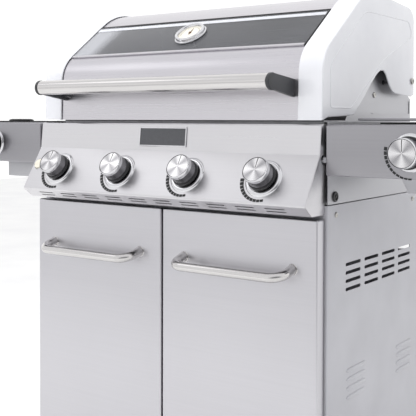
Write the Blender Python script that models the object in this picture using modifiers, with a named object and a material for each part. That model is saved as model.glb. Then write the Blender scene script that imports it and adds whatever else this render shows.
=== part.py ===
"""Four-burner gas barbecue grill on a two-door cart, with a windowed lid and two side shelves.

Metres, +Z up, -Y is the front. The origin is on the ground under the middle of the grill.
"""

import math

import bmesh
import bpy
from mathutils import Matrix, Vector

# ---------------------------------------------------------------- driving dimensions
GAP = 0.0003            # left between pieces that touch
SHEET = 0.0015          # formed stainless sheet

WHEEL_R, WHEEL_W = 0.034, 0.022
CASTER_X, CASTER_Y = 0.310, (-0.135, 0.205)
CASTER_TRAIL = 0.020
BASE_Z = 0.0930         # underside of the cart

CART_X = 0.3659         # outer face of the side panels
CART_FRONT, CART_BACK = -0.1856, 0.2710
SIDE_TOP = 0.7505
REAR_TOP = 0.6150

DOOR_X, DOOR_GAP = 0.3596, 0.0040
DOOR_FRONT, DOOR_DEPTH = -0.2124, 0.0228
DOOR_BOTTOM, DOOR_TOP = 0.1000, 0.7269
DOOR_AXIS = (0.3500, -0.2010)

PANEL_X = 0.3600        # half width of the control panel
PANEL_TOP = 0.9000
PANEL_LINE = (          # section of the control panel's front, from the top edge down
    (-0.1600, PANEL_TOP), (-0.2000, PANEL_TOP), (-0.2054, 0.8437), (-0.2596, 0.7538), (-0.2350, 0.7345),
)

KNOB_SPACING, KNOB_OFFSET = 0.1770, -0.0080
KNOB_R, KNOB_H = 0.0260, 0.0375
BEZEL_R, BEZEL_H = 0.0385, 0.0040
SIDE_BEZEL_R = 0.0340
SIDE_KNOB_X, SIDE_KNOB_Z = 0.5280, 0.8520

LID_X = 0.3064          # half width of the steel between the end caps
CAP_X = 0.3585          # outer face of the end caps
CAP_PROUD = 0.0040      # how far the caps stand out from the steel
CAP_WALL = 0.0022
LID_CORNERS = ((-0.1914, 0.9067), (-0.1880, 1.0270), (-0.0056, 1.1650), (0.2300, 1.1480), (0.2300, 0.9624))
LID_RADII = (0.0700, 0.1500, 0.0300)
LID_AXIS = (0.2204, 0.9932)

HANDLE_Y, HANDLE_Z, HANDLE_R, HANDLE_X = -0.2672, 0.9763, 0.0155, 0.2905

FIREBOX_X, FIREBOX_FRONT, FIREBOX_BACK = 0.3380, -0.1500, 0.2620
FIREBOX_BOTTOM, FIREBOX_TOP = 0.7350, 0.9045
SKIN_BOTTOM = 0.7525

SHELF_X0, SHELF_X1 = 0.3680, 0.6850
SHELF_TOP, FASCIA_BOTTOM, SHELF_LIP = 0.8990, 0.8065, 0.8600
SHELF_FRONT, SHELF_BACK = -0.2000, 0.2150

POT_BURNER = (-0.5600, -0.0850)
SEAR_X, SEAR_Y = (0.4200, 0.6400), (-0.1000, 0.1450)
SEAR_LID_X, SEAR_LID_Y = (0.3975, 0.6625), (-0.1300, 0.1700)
SEAR_LID_Z = (0.9062, 0.9112)
SEAR_AXIS = (0.1790, 0.9090)

TRAY_X, TRAY_Y, TRAY_Z = 0.3400, (-0.1000, 0.2600), (0.6820, 0.7000)
GRIP_BACK = 0.2831      # the rearmost point, as far behind the origin as the lid handle is in front

for old in list(bpy.data.objects):
    bpy.data.objects.remove(old)

GRILL = bpy.data.collections.new("gas_grill")
TOOLS = bpy.data.collections.new("cutters")
for group in (GRILL, TOOLS):
    bpy.context.scene.collection.children.link(group)
TOOLS.hide_render = True


# ---------------------------------------------------------------- materials
def finish(name, colour, metallic, roughness):
    """A plain Principled BSDF material."""
    made = bpy.data.materials.new(name)
    made.use_nodes = True
    shader = made.node_tree.nodes["Principled BSDF"]
    shader.inputs["Base Color"].default_value = (*colour, 1.0)
    shader.inputs["Metallic"].default_value = metallic
    shader.inputs["Roughness"].default_value = roughness
    return made


STEEL = finish("brushed_steel", (0.62, 0.61, 0.62), 1.0, 0.35)
GREY_STEEL = finish("painted_side_steel", (0.48, 0.48, 0.50), 0.4, 0.45)
WHITE = finish("white_enamel", (0.83, 0.84, 0.86), 0.0, 0.20)
BLACK = finish("black_nylon", (0.04, 0.04, 0.045), 0.0, 0.45)
CHROME = finish("chrome", (0.75, 0.75, 0.76), 1.0, 0.10)
IRON = finish("enamelled_iron", (0.03, 0.03, 0.03), 0.2, 0.60)
GLASS = finish("tinted_glass", (0.22, 0.23, 0.24), 0.0, 0.08)
TYRE = finish("tyre", (0.05, 0.05, 0.05), 0.0, 0.70)
CREAM = finish("cream_dial", (0.80, 0.77, 0.68), 0.0, 0.35)
RED = finish("needle_paint", (0.30, 0.12, 0.05), 0.0, 0.45)


# ---------------------------------------------------------------- shapes
def place(name, mesh, material=None, tool=False):
    """An object for this mesh, in the grill or among the cutters."""
    made = bpy.data.objects.new(name, mesh)
    (TOOLS if tool else GRILL).objects.link(made)
    if tool:
        made.hide_render = True
        made.display_type = "WIRE"
    if material:
        mesh.materials.append(material)
    return made


def box(name, x, y, z, material=None, tool=False):
    """A block between two x, two y and two z values."""
    mesh = bpy.data.meshes.new(name)
    shape = bmesh.new()
    bmesh.ops.create_cube(shape, size=1.0)
    low = Vector((min(x), min(y), min(z)))
    high = Vector((max(x), max(y), max(z)))
    shape.transform(Matrix.Translation((low + high) / 2) @ Matrix.Diagonal((*(high - low), 1.0)))
    shape.to_mesh(mesh)
    shape.free()
    return place(name, mesh, material, tool)


def turn_to(direction):
    """The rotation that takes +Z to this direction."""
    return Vector(direction).to_track_quat("Z", "Y").to_matrix().to_4x4()


def cylinder(name, centre, direction, radius, length, material=None, tool=False, sides=20, top=None):
    """A round bar or a cone of this length, about its centre."""
    mesh = bpy.data.meshes.new(name)
    shape = bmesh.new()
    bmesh.ops.create_cone(
        shape, cap_ends=True, segments=sides, radius1=radius,
        radius2=radius if top is None else top, depth=length,
    )
    shape.transform(Matrix.Translation(centre) @ turn_to(direction))
    shape.to_mesh(mesh)
    shape.free()
    return place(name, mesh, material, tool)


def evaluated_mesh(source, name):
    """The object's shape as a plain mesh with its caps welded, and the source removed."""
    bpy.context.view_layer.update()
    graph = bpy.context.evaluated_depsgraph_get()
    mesh = bpy.data.meshes.new_from_object(source.evaluated_get(graph))
    mesh.name = name
    shape = bmesh.new()
    shape.from_mesh(mesh)
    shape.transform(source.matrix_world)
    bmesh.ops.remove_doubles(shape, verts=shape.verts, dist=1e-5)
    bmesh.ops.recalc_face_normals(shape, faces=shape.faces)
    shape.to_mesh(mesh)
    shape.free()
    mesh.materials.clear()
    bpy.data.objects.remove(source)
    return mesh


AXES = {  # the plane of an outline, and the way it is extruded
    "X": Matrix(((0, 0, 1, 0), (1, 0, 0, 0), (0, 1, 0, 0), (0, 0, 0, 1))),
    "Y": Matrix(((1, 0, 0, 0), (0, 0, -1, 0), (0, 1, 0, 0), (0, 0, 0, 1))),
    "Z": Matrix.Identity(4),
}


def outline(name, points, axis, low, high, material=None, tool=False):
    """A closed flat outline, extruded along X (points are y, z), Y (x, z) or Z (x, y)."""
    curve = bpy.data.curves.new(name, "CURVE")
    curve.dimensions = "2D"
    curve.fill_mode = "BOTH"
    curve.extrude = (high - low) / 2
    line = curve.splines.new("POLY")
    line.points.add(len(points) - 1)
    for point, (a, b) in zip(line.points, points):
        point.co = (a, b, 0.0, 1.0)
    line.use_cyclic_u = True
    source = bpy.data.objects.new(name, curve)
    TOOLS.objects.link(source)
    middle = (low + high) / 2 * (-1 if axis == "Y" else 1)
    source.matrix_world = AXES[axis] @ Matrix.Translation((0, 0, middle))
    return place(name, evaluated_mesh(source, name), material, tool)


def rod(name, points, radius, material=None, tool=False, sides=2):
    """A round bar bent along these points."""
    curve = bpy.data.curves.new(name, "CURVE")
    curve.dimensions = "3D"
    curve.bevel_depth = radius
    curve.bevel_resolution = sides
    curve.use_fill_caps = True
    line = curve.splines.new("POLY")
    line.points.add(len(points) - 1)
    for point, place_at in zip(line.points, points):
        point.co = (*place_at, 1.0)
    source = bpy.data.objects.new(name, curve)
    TOOLS.objects.link(source)
    return place(name, evaluated_mesh(source, name), material, tool)


def turned(name, profile, centre, direction, material=None, tool=False, steps=24):
    """A profile of (radius, height) points from the top down its outer side, spun about a line."""
    mesh = bpy.data.meshes.new(name)
    shape = bmesh.new()
    rim = [shape.verts.new((radius, 0.0, height)) for radius, height in profile]
    for a, b in zip(rim, rim[1:]):
        shape.edges.new((a, b))
    if profile[0][0] > 0 and profile[-1][0] > 0:
        shape.edges.new((rim[-1], rim[0]))
    shape.to_mesh(mesh)
    shape.free()
    source = bpy.data.objects.new(name, mesh)
    TOOLS.objects.link(source)
    spin = source.modifiers.new("spin", "SCREW")
    spin.steps = spin.render_steps = steps
    spin.use_merge_vertices = True
    spin.merge_threshold = 0.00005
    source.matrix_world = Matrix.Translation(centre) @ turn_to(direction)
    return place(name, evaluated_mesh(source, name), material, tool)


def boolean(target, kind, tools):
    """Joins the tools to the target, or cuts them from it, one Boolean for each."""
    for tool in tools:
        step = target.modifiers.new(kind.lower(), "BOOLEAN")
        step.operation = kind
        step.solver = "EXACT"
        step.object = tool
    return target


def cut(target, *tools):
    return boolean(target, "DIFFERENCE", tools)


def join(target, *tools):
    return boolean(target, "UNION", tools)


def together(name, pieces):
    """Separate tools that don't touch, as one tool."""
    shape = bmesh.new()
    for piece in pieces:
        shape.from_mesh(piece.data)
        bpy.data.objects.remove(piece)
    mesh = bpy.data.meshes.new(name)
    shape.to_mesh(mesh)
    shape.free()
    return place(name, mesh, tool=True)


def smooth(target, degrees=30):
    target.data.shade_smooth()
    target.data.set_sharp_from_angle(angle=math.radians(degrees))
    return target


def set_origin(target, point):
    """Moves the object's origin to a joint's axis and leaves its shape where it is."""
    target.data.transform(Matrix.Translation(-Vector(point)))
    target.location = point
    return target


def pivot(name, point, *pieces):
    """An empty on a joint's axis, and the parent of the pieces that turn about it."""
    made = bpy.data.objects.new(name, None)
    made.location = point
    GRILL.objects.link(made)
    bpy.context.view_layer.update()
    for piece in pieces:
        piece.parent = made
        piece.matrix_parent_inverse = made.matrix_world.inverted()
    return made


def unit(a, b):
    """The direction from one (y, z) point to another."""
    length = math.hypot(b[0] - a[0], b[1] - a[1])
    return ((b[0] - a[0]) / length, (b[1] - a[1]) / length)


def along(a, b, distance, off=0.0):
    """The point this far from a towards b, and this far off the line to its left."""
    d = unit(a, b)
    return (a[0] + d[0] * distance - d[1] * off, a[1] + d[1] * distance + d[0] * off)


def shifted(points, off):
    """An open line moved sideways, to its left, with its corners kept sharp."""
    moved = [along(points[0], points[1], 0.0, off)]
    for a, b, c in zip(points, points[1:], points[2:]):
        before, after = unit(a, b), unit(b, c)
        turn = (before[0] * after[0] + before[1] * after[1] + 1) / 2
        normal = (-(before[1] + after[1]) / 2, (before[0] + after[0]) / 2)
        moved.append((b[0] + normal[0] * off / turn, b[1] + normal[1] * off / turn))
    end = points[-1]
    d = unit(points[-2], end)
    moved.append((end[0] - d[1] * off, end[1] + d[0] * off))
    return moved


def rounded(points, radii, step_degrees=14):
    """An open line with an arc of its own radius at each inner corner."""
    line = [points[0]]
    for a, b, c, radius in zip(points, points[1:], points[2:], radii):
        before, after = unit(a, b), unit(b, c)
        cross = before[0] * after[1] - before[1] * after[0]
        turn = math.atan2(cross, before[0] * after[0] + before[1] * after[1])
        reach = radius * math.tan(abs(turn) / 2)
        start = (b[0] - before[0] * reach, b[1] - before[1] * reach)
        side = math.copysign(1.0, turn)
        centre = (start[0] - before[1] * radius * side, start[1] + before[0] * radius * side)
        steps = max(1, math.ceil(abs(math.degrees(turn)) / step_degrees))
        for i in range(steps + 1):
            angle = turn * i / steps
            arm = (start[0] - centre[0], start[1] - centre[1])
            line.append((
                centre[0] + arm[0] * math.cos(angle) - arm[1] * math.sin(angle),
                centre[1] + arm[0] * math.sin(angle) + arm[1] * math.cos(angle),
            ))
    line.append(points[-1])
    return line


def mirror_x(x, side):
    """A pair of x values on the right (side 1) or the left (side -1)."""
    return (x[0] * side, x[1] * side)


# ---------------------------------------------------------------- cart
def caster_places():
    return [(x, y) for y in CASTER_Y for x in (-CASTER_X, CASTER_X)]


def base_panel():
    """A tray with upturned edges, a ring hole for the gas bottle's foot and four caster plates."""
    inside = CART_X - SHEET - 2 * GAP
    front, back = CART_FRONT + SHEET + 2 * GAP, CART_BACK - SHEET - 2 * GAP
    base = box("base_panel", (-inside, inside), (front, back), (BASE_Z, BASE_Z + 0.026), GREY_STEEL)
    hollow = box("base_hollow", (SHEET - inside, inside - SHEET), (front + SHEET, back - SHEET),
                 (BASE_Z + SHEET, BASE_Z + 0.05), tool=True)
    ring = cylinder("bottle_hole", (0.165, 0.035, BASE_Z), (0, 0, 1), 0.105, 0.05, tool=True, sides=32)
    return cut(base, hollow, ring)


def side_panel(name, side):
    """A folded side with four rows of four vents and the rail that the grease tray runs on."""
    flange = CART_X - 0.021
    panel = box(name, mirror_x((flange, CART_X), side), (CART_FRONT, CART_BACK), (BASE_Z, SIDE_TOP),
                GREY_STEEL)
    inner = box("side_hollow", mirror_x((flange - 0.01, CART_X - SHEET), side),
                (CART_FRONT + SHEET, CART_BACK - SHEET), (BASE_Z - 0.01, SIDE_TOP + 0.01), tool=True)
    rail = box("tray_rail", mirror_x((0.322, CART_X - SHEET / 2), side), (-0.120, CART_BACK - 0.009),
               (TRAY_Z[0] - GAP - SHEET, TRAY_Z[0] - GAP), tool=True)
    vents = []
    for row in range(4):
        for column in range(4):
            y0 = VENT_Y + column * VENT_PITCH_Y
            z1 = VENT_Z - row * VENT_PITCH_Z
            vents.append(vent_slot(side, (y0, y0 + VENT_LENGTH), (z1 - VENT_HEIGHT, z1)))
    return cut(join(cut(panel, inner), rail), together("vents", vents))


VENT_Y, VENT_PITCH_Y, VENT_LENGTH = -0.1126, 0.0822, 0.0650
VENT_Z, VENT_PITCH_Z, VENT_HEIGHT = 0.6368, 0.0159, 0.0066


def vent_slot(side, y, z):
    """A slot with rounded ends, through the side panel."""
    radius = (z[1] - z[0]) / 2
    middle = (z[0] + z[1]) / 2
    line = []
    for end, start in ((y[1] - radius, -90), (y[0] + radius, 90)):
        for degrees in (0, 60, 120, 180):
            angle = math.radians(start + degrees)
            line.append((end + radius * math.cos(angle), middle + radius * math.sin(angle)))
    x = sorted(mirror_x((CART_X - 0.005, CART_X + 0.005), side))
    return outline("vent", line, "X", x[0], x[1], tool=True)


def rear_panel():
    """The lower back, open above for the grease tray, with a hole that the gas hose passes."""
    inside = CART_X - SHEET - 2 * GAP
    y = (CART_BACK - 2 * SHEET - GAP, CART_BACK - SHEET - GAP)
    panel = box("rear_panel", (-inside, inside), y, (BASE_Z + 0.028, REAR_TOP), GREY_STEEL)
    hem = box("rear_hem", (-inside + 0.03, inside - 0.03), (y[0] - 0.012, y[0] + SHEET / 2),
              (REAR_TOP - SHEET, REAR_TOP), tool=True)
    hose = cylinder("hose_hole", (0.23, y[0], 0.50), (0, 1, 0), 0.022, 0.05, tool=True)
    return cut(join(panel, hem), hose)


def header_rail():
    """The angle across the front that stiffens the cart, with the doors' two magnet catches."""
    inside = CART_X - SHEET - 2 * GAP
    y = CART_FRONT + SHEET + GAP
    rail = box("header_rail", (-inside, inside), (y, y + SHEET), (0.700, 0.7325), GREY_STEEL)
    lip = box("rail_lip", (-inside, inside), (y, y + 0.018), (0.7310, 0.7325), tool=True)
    catches = [box("catch", (x - 0.016, x + 0.016), (CART_FRONT - 0.0025, y + SHEET / 2),
                   (0.703, 0.715), tool=True) for x in (-0.040, 0.040)]
    return join(rail, lip, together("catches", catches))


# ---------------------------------------------------------------- doors
def door(name, side):
    """A formed pan with rounded edges, open at the back."""
    inner_x = DOOR_GAP / 2
    y = (DOOR_FRONT, DOOR_FRONT + DOOR_DEPTH)
    pan = box(name, mirror_x((inner_x, DOOR_X), side), y, (DOOR_BOTTOM, DOOR_TOP), STEEL)
    edge = pan.modifiers.new("edges", "BEVEL")
    edge.width, edge.segments = 0.0030, 2
    edge.limit_method = "ANGLE"
    hollow = box("door_hollow", mirror_x((inner_x + SHEET, DOOR_X - SHEET), side),
                 (y[0] + SHEET, y[1] + 0.01), (DOOR_BOTTOM + SHEET, DOOR_TOP - SHEET), tool=True)
    cut(pan, hollow)
    return set_origin(pan, (DOOR_AXIS[0] * side, DOOR_AXIS[1], 0.0))


HANDLE_FEET = (0.0580, 0.3075)
BAR_R, BAR_OUT, BAR_DROP, BAR_Z = 0.0093, 0.0455, 0.0110, 0.6325


def door_handle(name, side):
    """A bent tube whose two feet are bolted through the door."""
    y = DOOR_FRONT - GAP
    bend = 0.028
    line = []
    for x, inwards in ((HANDLE_FEET[0], 1), (HANDLE_FEET[1], -1)):
        half = [(x, y, BAR_Z), (x, y - 0.0040, BAR_Z)]
        for i in range(7):
            angle = math.radians(90 * i / 6)
            out = BAR_OUT - bend + bend * math.sin(angle)
            half.append((x + inwards * bend * (1 - math.cos(angle)), y - out,
                         BAR_Z - BAR_DROP * out / BAR_OUT))
        line += half if inwards == 1 else half[::-1]
    return smooth(rod(name, [(x * side, y, z) for x, y, z in line], BAR_R, STEEL))


# ---------------------------------------------------------------- firebox and what it holds
def firebox():
    """The trough that holds the fire, its raised ears and the outer skins above the cart's sides."""
    x, front, back = FIREBOX_X, FIREBOX_FRONT, FIREBOX_BACK
    trough = box("firebox", (-x, x), (front, back), (FIREBOX_BOTTOM, FIREBOX_TOP), STEEL)
    rear = box("firebox_rear", (-x, x), (back - SHEET, back), (FIREBOX_TOP - 0.01, 0.9550), tool=True)
    hollow = box("firebox_hollow", (SHEET - x, x - SHEET), (front + SHEET, back - SHEET),
                 (FIREBOX_BOTTOM + SHEET, 1.2), tool=True)
    drain = box("firebox_drain", (-0.260, 0.260), (-0.02, 0.12),
                (FIREBOX_BOTTOM - 0.01, FIREBOX_BOTTOM + 0.01),
                tool=True)
    # behind the lid's axis the ear stays within 11 mm of it, because the cap's rim swings round it
    ear_line = ((front, FIREBOX_TOP - 0.01), (front, FIREBOX_TOP + 0.002), (-0.062, FIREBOX_TOP + 0.002),
                (0.030, 1.022), (0.205, 1.022), (0.2285, 1.002), (0.2300, 0.9900), (0.2215, 0.9830),
                (0.2215, 0.9760), (0.2610, 0.9550), (0.2615, FIREBOX_TOP - 0.01))
    pieces = [rear]
    for side in (1, -1):
        skin = CART_X
        pieces.append(box("skin", mirror_x((skin - SHEET, skin), side), (CART_FRONT, back),
                          (SKIN_BOTTOM, FIREBOX_TOP - SHEET / 2), tool=True))
        pieces.append(box("ledge", mirror_x((x - SHEET / 2, skin), side), (front, back - 0.0005),
                          (FIREBOX_TOP - SHEET, FIREBOX_TOP - 0.0002), tool=True))
        ear_x = sorted(mirror_x((x - SHEET, x - 0.00005), side))
        pieces.append(outline("ear", ear_line, "X", ear_x[0], ear_x[1], tool=True))
    ledges = []
    for z in (TAMER_Z - 0.0006, GRATE_Z[0] - 0.0006):
        for y in ((front + SHEET / 2, front + 0.010), (back - 0.010, back - SHEET / 2)):
            ledges.append(box("rest", (SHEET / 2 - x, x - SHEET / 2), y, (z - SHEET, z), tool=True))
    holes = [cylinder("burner_hole", (bx, front, BURNER_Z), (0, 1, 0), BURNER_R + 0.002, 0.03, tool=True,
                      sides=16)
             for bx in knob_places()]
    ears = [cylinder("ear_hole", (x * side, *at), (1, 0, 0), radius, 0.02, tool=True, sides=12)
            for side in (1, -1) for at, radius in ((LID_AXIS, 0.0046), (RACK_HOOK, 0.0045))]
    join(trough, *pieces)
    cut(trough, hollow, drain)
    join(trough, *ledges)
    return cut(trough, together("burner_holes", holes), together("ear_holes", ears))


GRATE_Z = (0.8800, 0.8920)
TAMER_Z = 0.8300
BURNER_Z, BURNER_R = 0.7950, 0.0125
RACK_HOOK = (0.1236, 0.9867)


def knob_places():
    return [KNOB_OFFSET + KNOB_SPACING * (i - 1.5) for i in range(4)]


def burner(number, x):
    """A stainless tube burner with a flared mouth that the valve's jet points into."""
    y0, y1 = FIREBOX_FRONT - 0.0250, FIREBOX_BACK - 0.0420
    tube = cylinder(f"burner_{number}", (x, (y0 + y1) / 2, BURNER_Z), (0, 1, 0), BURNER_R, y1 - y0, STEEL,
                    sides=16)
    mouth = cylinder("mouth", (x, y0, BURNER_Z), (0, 1, 0), BURNER_R - 0.0015, 0.10, tool=True, sides=16)
    tab = box("tab", (x - 0.009, x + 0.009), (y1 - 0.004, y1 + 0.038), (BURNER_Z - 0.001, BURNER_Z + 0.001),
              tool=True)
    return smooth(join(cut(tube, mouth), tab))


def flame_tamer(number, x):
    """An angle of sheet over a burner, resting on the firebox's lower ledges."""
    half, rise = 0.0480, 0.0300
    line = [(x - half, TAMER_Z), (x - half + 0.010, TAMER_Z), (x, TAMER_Z + rise),
            (x + half - 0.010, TAMER_Z),
            (x + half, TAMER_Z)]
    section = line + [(px, pz + 0.0012) for px, pz in reversed(line)]
    y = (FIREBOX_FRONT + 0.0025, FIREBOX_BACK - 0.0025)
    return outline(f"flame_tamer_{number}", section, "Y", y[0], y[1], STEEL)


def bar_grate(name, x, y, z, bars, material):
    """A cast grate: a plate with long slots between its bars and one cross rib."""
    plate = box(name, x, y, z, material)
    rim, rib = 0.010, 0.008
    pitch = (x[1] - x[0] - 2 * rim + rib) / bars
    middle = (y[0] + y[1]) / 2
    slots = []
    for i in range(bars):
        left = x[0] + rim + i * pitch
        for span in ((y[0] + rim, middle - rib / 2), (middle + rib / 2, y[1] - rim)):
            slots.append(box("slot", (left, left + pitch - rib), span, (z[0] - 0.01, z[1] + 0.01),
                             tool=True))
    return cut(plate, together("slots", slots))


def warming_rack():
    """A shelf of wires hung on the firebox's ears."""
    wire, z = 0.0028, 1.0450
    x, y = 0.2950, (0.0650, 0.1850)
    ends = []
    for side in (1, -1):
        ends.append(rod("rack_end", [(side * x, y[0] - 0.001, z), (side * x, y[1] + 0.001, z)], wire,
                        tool=True, sides=1))
        ends.append(rod("rack_leg", [(side * x, RACK_HOOK[0], z), (side * (x + 0.012), RACK_HOOK[0],
                                                                   z - 0.002),
                                     (side * (x + 0.020), RACK_HOOK[0], RACK_HOOK[1] + 0.010),
                                     (side * (x + 0.026), *RACK_HOOK), (side * (x + 0.050), *RACK_HOOK)],
                        wire, tool=True, sides=1))
    count = 6
    long_wires = [rod("rack_wire", [(-x - 0.001, y[0] + (y[1] - y[0]) * i / (count - 1), z),
                                    (x + 0.001, y[0] + (y[1] - y[0]) * i / (count - 1), z)], wire,
                      None if i else STEEL, tool=bool(i), sides=1) for i in range(count)]
    rack = long_wires[0]
    rack.name = "warming_rack"
    return smooth(join(rack, *ends, *long_wires[1:]))


def grease_tray():
    """A shallow pan on the cart's rails, drawn out from the back, with a drain over the cup."""
    tray = box("grease_tray", (-TRAY_X, TRAY_X), TRAY_Y, TRAY_Z, STEEL)
    hollow = box("tray_hollow", (SHEET - TRAY_X, TRAY_X - SHEET), (TRAY_Y[0] + SHEET, TRAY_Y[1] - SHEET),
                 (TRAY_Z[0] + SHEET, TRAY_Z[1] + 0.02), tool=True)
    drain = cylinder("tray_drain", (0, CUP_Y, TRAY_Z[0]), (0, 0, 1), 0.009, 0.02, tool=True, sides=12)
    grip = box("tray_grip", (-0.060, 0.060), (TRAY_Y[1] - SHEET / 2, GRIP_BACK),
               (TRAY_Z[1] - SHEET, TRAY_Z[1]), tool=True)
    return join(cut(tray, hollow, drain), grip)


CUP_Y, CUP_R = 0.0500, 0.0420


def grease_cup():
    """A pressed cup hooked under the tray's drain."""
    top, bottom = TRAY_Z[0] - GAP, 0.6280
    profile = [(CUP_R + 0.003, top), (CUP_R + 0.003, top - 0.0012), (CUP_R, top - 0.0012),
               (CUP_R - 0.004, bottom),
               (0.0, bottom), (0.0, bottom + 0.0012), (CUP_R - 0.0052, bottom + 0.0012),
               (CUP_R - 0.0012, top)]
    return smooth(turned("grease_cup", profile_loop(profile), (0, CUP_Y, 0), (0, 0, 1), STEEL))


def profile_loop(points):
    """A profile that starts and ends on the axis where it reaches it, or closes on itself."""
    on_axis = [i for i, (radius, _) in enumerate(points) if radius == 0.0]
    if len(on_axis) == 2 and on_axis[1] == on_axis[0] + 1:
        return points[on_axis[1]:] + points[:on_axis[1]]
    return points


# ---------------------------------------------------------------- control panel
def slope():
    """The top of the sloped face, the way down it and the way out of it, as vectors."""
    a, b = PANEL_LINE[2], PANEL_LINE[3]
    down = unit(a, b)
    return Vector((0, *a)), Vector((0, *down)), Vector((0, down[1], -down[0]))


SLOPE_START, SLOPE_DOWN, SLOPE_OUT = slope()
KNOB_DOWN = 0.0525


def on_slope(x, down, out=0.0):
    return SLOPE_START + SLOPE_DOWN * down + SLOPE_OUT * out + Vector((x, 0, 0))


BUTTON_AT, BUTTON_R = (-0.3415, 0.0440), 0.0120


def bezel_ring(centre, direction, radius):
    """The bright ring that a knob stands in."""
    profile = [(radius - 0.004, BEZEL_H), (radius, -0.0005), (KNOB_R + 0.0035, -0.0005),
               (KNOB_R + 0.0035, 0.0012)]
    return turned("bezel", profile, centre, direction, tool=True, steps=18)


def control_panel():
    """The folded front with closed ends, two rows of vents under it and the knobs' bezels."""
    back = PANEL_LINE[0][0]
    bottom = PANEL_LINE[-1]
    panel = outline("control_panel", [*PANEL_LINE, (back, bottom[1])], "X", -PANEL_X, PANEL_X, STEEL)
    inner = shifted(list(PANEL_LINE), SHEET)
    inside = [(back + 0.01, inner[0][1]), *inner[1:-1], (inner[-1][0], bottom[1] + SHEET),
              (bottom[0] + 0.020, bottom[1] + SHEET), (bottom[0] + 0.020, bottom[1] - 0.01),
              (back + 0.01, bottom[1] - 0.01)]
    hollow = outline("panel_hollow", inside, "X", SHEET - PANEL_X, PANEL_X - SHEET, tool=True)
    rings = [bezel_ring(on_slope(x, KNOB_DOWN), SLOPE_OUT, BEZEL_R) for x in knob_places()]
    holes = [cylinder("stem_hole", on_slope(x, KNOB_DOWN), SLOPE_OUT, 0.0070, 0.02, tool=True, sides=12)
             for x in knob_places()]
    holes.append(cylinder("button_hole", on_slope(*BUTTON_AT), SLOPE_OUT, BUTTON_R + 0.0004, 0.02,
                          tool=True))
    holes += [cylinder("pipe_hole", (side * PANEL_X, PIPE_Y, SIDE_PIPE_Z), (1, 0, 0), 0.009, 0.01,
                       tool=True,
                       sides=12) for side in (1, -1)]
    clear = box("side_clearance", (-PANEL_X - 0.01, PANEL_X + 0.01), (CART_FRONT - 0.0015, back + 0.01),
                (bottom[1] - 0.01, SIDE_TOP + 0.0020), tool=True)
    cut(panel, hollow, clear)
    join(panel, together("bezels", rings))
    return cut(panel, together("panel_holes", holes), together("lip_vents", lip_vents()))


LIP_VENT_X, LIP_VENT_PITCH, LIP_VENT_LENGTH = -0.3190, 0.0654, 0.0425


def lip_vents():
    """Ten pairs of long vents across the panel's underside."""
    a, b = PANEL_LINE[3], PANEL_LINE[4]
    vents = []
    for i in range(10):
        x = LIP_VENT_X + LIP_VENT_PITCH * i
        for distance in (0.0128, 0.0220):
            line = [along(a, b, distance - 0.0015, off) for off in (-0.004, 0.004)]
            line += [along(a, b, distance + 0.0015, off) for off in (0.004, -0.004)]
            vents.append(outline("lip_vent", line, "X", x, x + LIP_VENT_LENGTH, tool=True))
    return vents


def knob(name, centre, direction):
    """A turned knob with a black foot, a bright rim, an index bar and a bore for the valve's stem."""
    profile = [(KNOB_R - 0.0035, KNOB_H - 0.0008), (KNOB_R - 0.0015, KNOB_H), (KNOB_R, KNOB_H - 0.0022),
               (KNOB_R, 0.0130), (KNOB_R + 0.0025, 0.0120), (KNOB_R + 0.0025, 0.0060),
               (KNOB_R - 0.004, 0.0052),
               (0.0, 0.0052), (0.0, KNOB_H - 0.0008)]
    body = smooth(turned(name, profile_loop(profile), centre, direction, CHROME, steps=20))
    bore = cylinder("stem_bore", Vector(centre) + Vector(direction) * 0.012, direction, 0.0048, 0.020,
                    tool=True,
                    sides=8)
    return set_origin(cut(body, bore), centre)


PIPE_Y, PIPE_Z, PIPE_R = -0.1935, 0.7760, 0.0095
SIDE_PIPE_Z, SIDE_PIPE_R = 0.8350, 0.0055
STEM_R = 0.0042


def gas_manifold():
    """The gas rail with four main valves, two branches to the shelf valves and the hose inlet."""
    pipe = cylinder("gas_manifold", (0, PIPE_Y, PIPE_Z), (1, 0, 0), PIPE_R, 0.660, STEEL, sides=12)
    pieces = []
    for x in knob_places():
        body_low, body_high, tip = -0.046, -0.0045, 0.0170
        for radius, low, high in ((0.0110, body_low, body_high), (STEM_R, body_high - 0.002, tip)):
            middle = on_slope(x, KNOB_DOWN, (low + high) / 2)
            pieces.append(cylinder("valve", middle, SLOPE_OUT, radius, high - low, tool=True, sides=8))
        jet = (-0.2050, FIREBOX_FRONT - 0.0180)
        pieces.append(cylinder("jet", (x, sum(jet) / 2, BURNER_Z), (0, 1, 0), 0.0045, jet[1] - jet[0],
                               tool=True,
                               sides=6))
    for side in (1, -1):
        x = SIDE_KNOB_X
        line = [(0.320, PIPE_Y, PIPE_Z), (0.338, PIPE_Y, PIPE_Z + 0.012),
                (0.344, PIPE_Y, SIDE_PIPE_Z - 0.014),
                (0.350, PIPE_Y, SIDE_PIPE_Z - 0.003), (0.362, PIPE_Y, SIDE_PIPE_Z),
                (x - 0.030, PIPE_Y + 0.010, SIDE_PIPE_Z),
                (x, PIPE_Y + 0.014, SIDE_PIPE_Z + 0.004)]
        pieces.append(rod("branch", [(px * side, py, pz) for px, py, pz in line], SIDE_PIPE_R, tool=True,
                          sides=1))
        for radius, low, high in ((0.0110, SHELF_FRONT + 0.0040, SHELF_FRONT + 0.0420),
                                  (STEM_R, SHELF_FRONT - 0.0170, SHELF_FRONT + 0.0060)):
            pieces.append(cylinder("side_valve", (x * side, (low + high) / 2, SIDE_KNOB_Z), (0, 1, 0),
                                   radius,
                                   high - low, tool=True, sides=8))
    pieces.append(cylinder("inlet", (0.250, PIPE_Y + 0.013, PIPE_Z - 0.002), (0, 1, 0), 0.0075, 0.022,
                           tool=True, sides=12))
    return join(pipe, *pieces)


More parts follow.
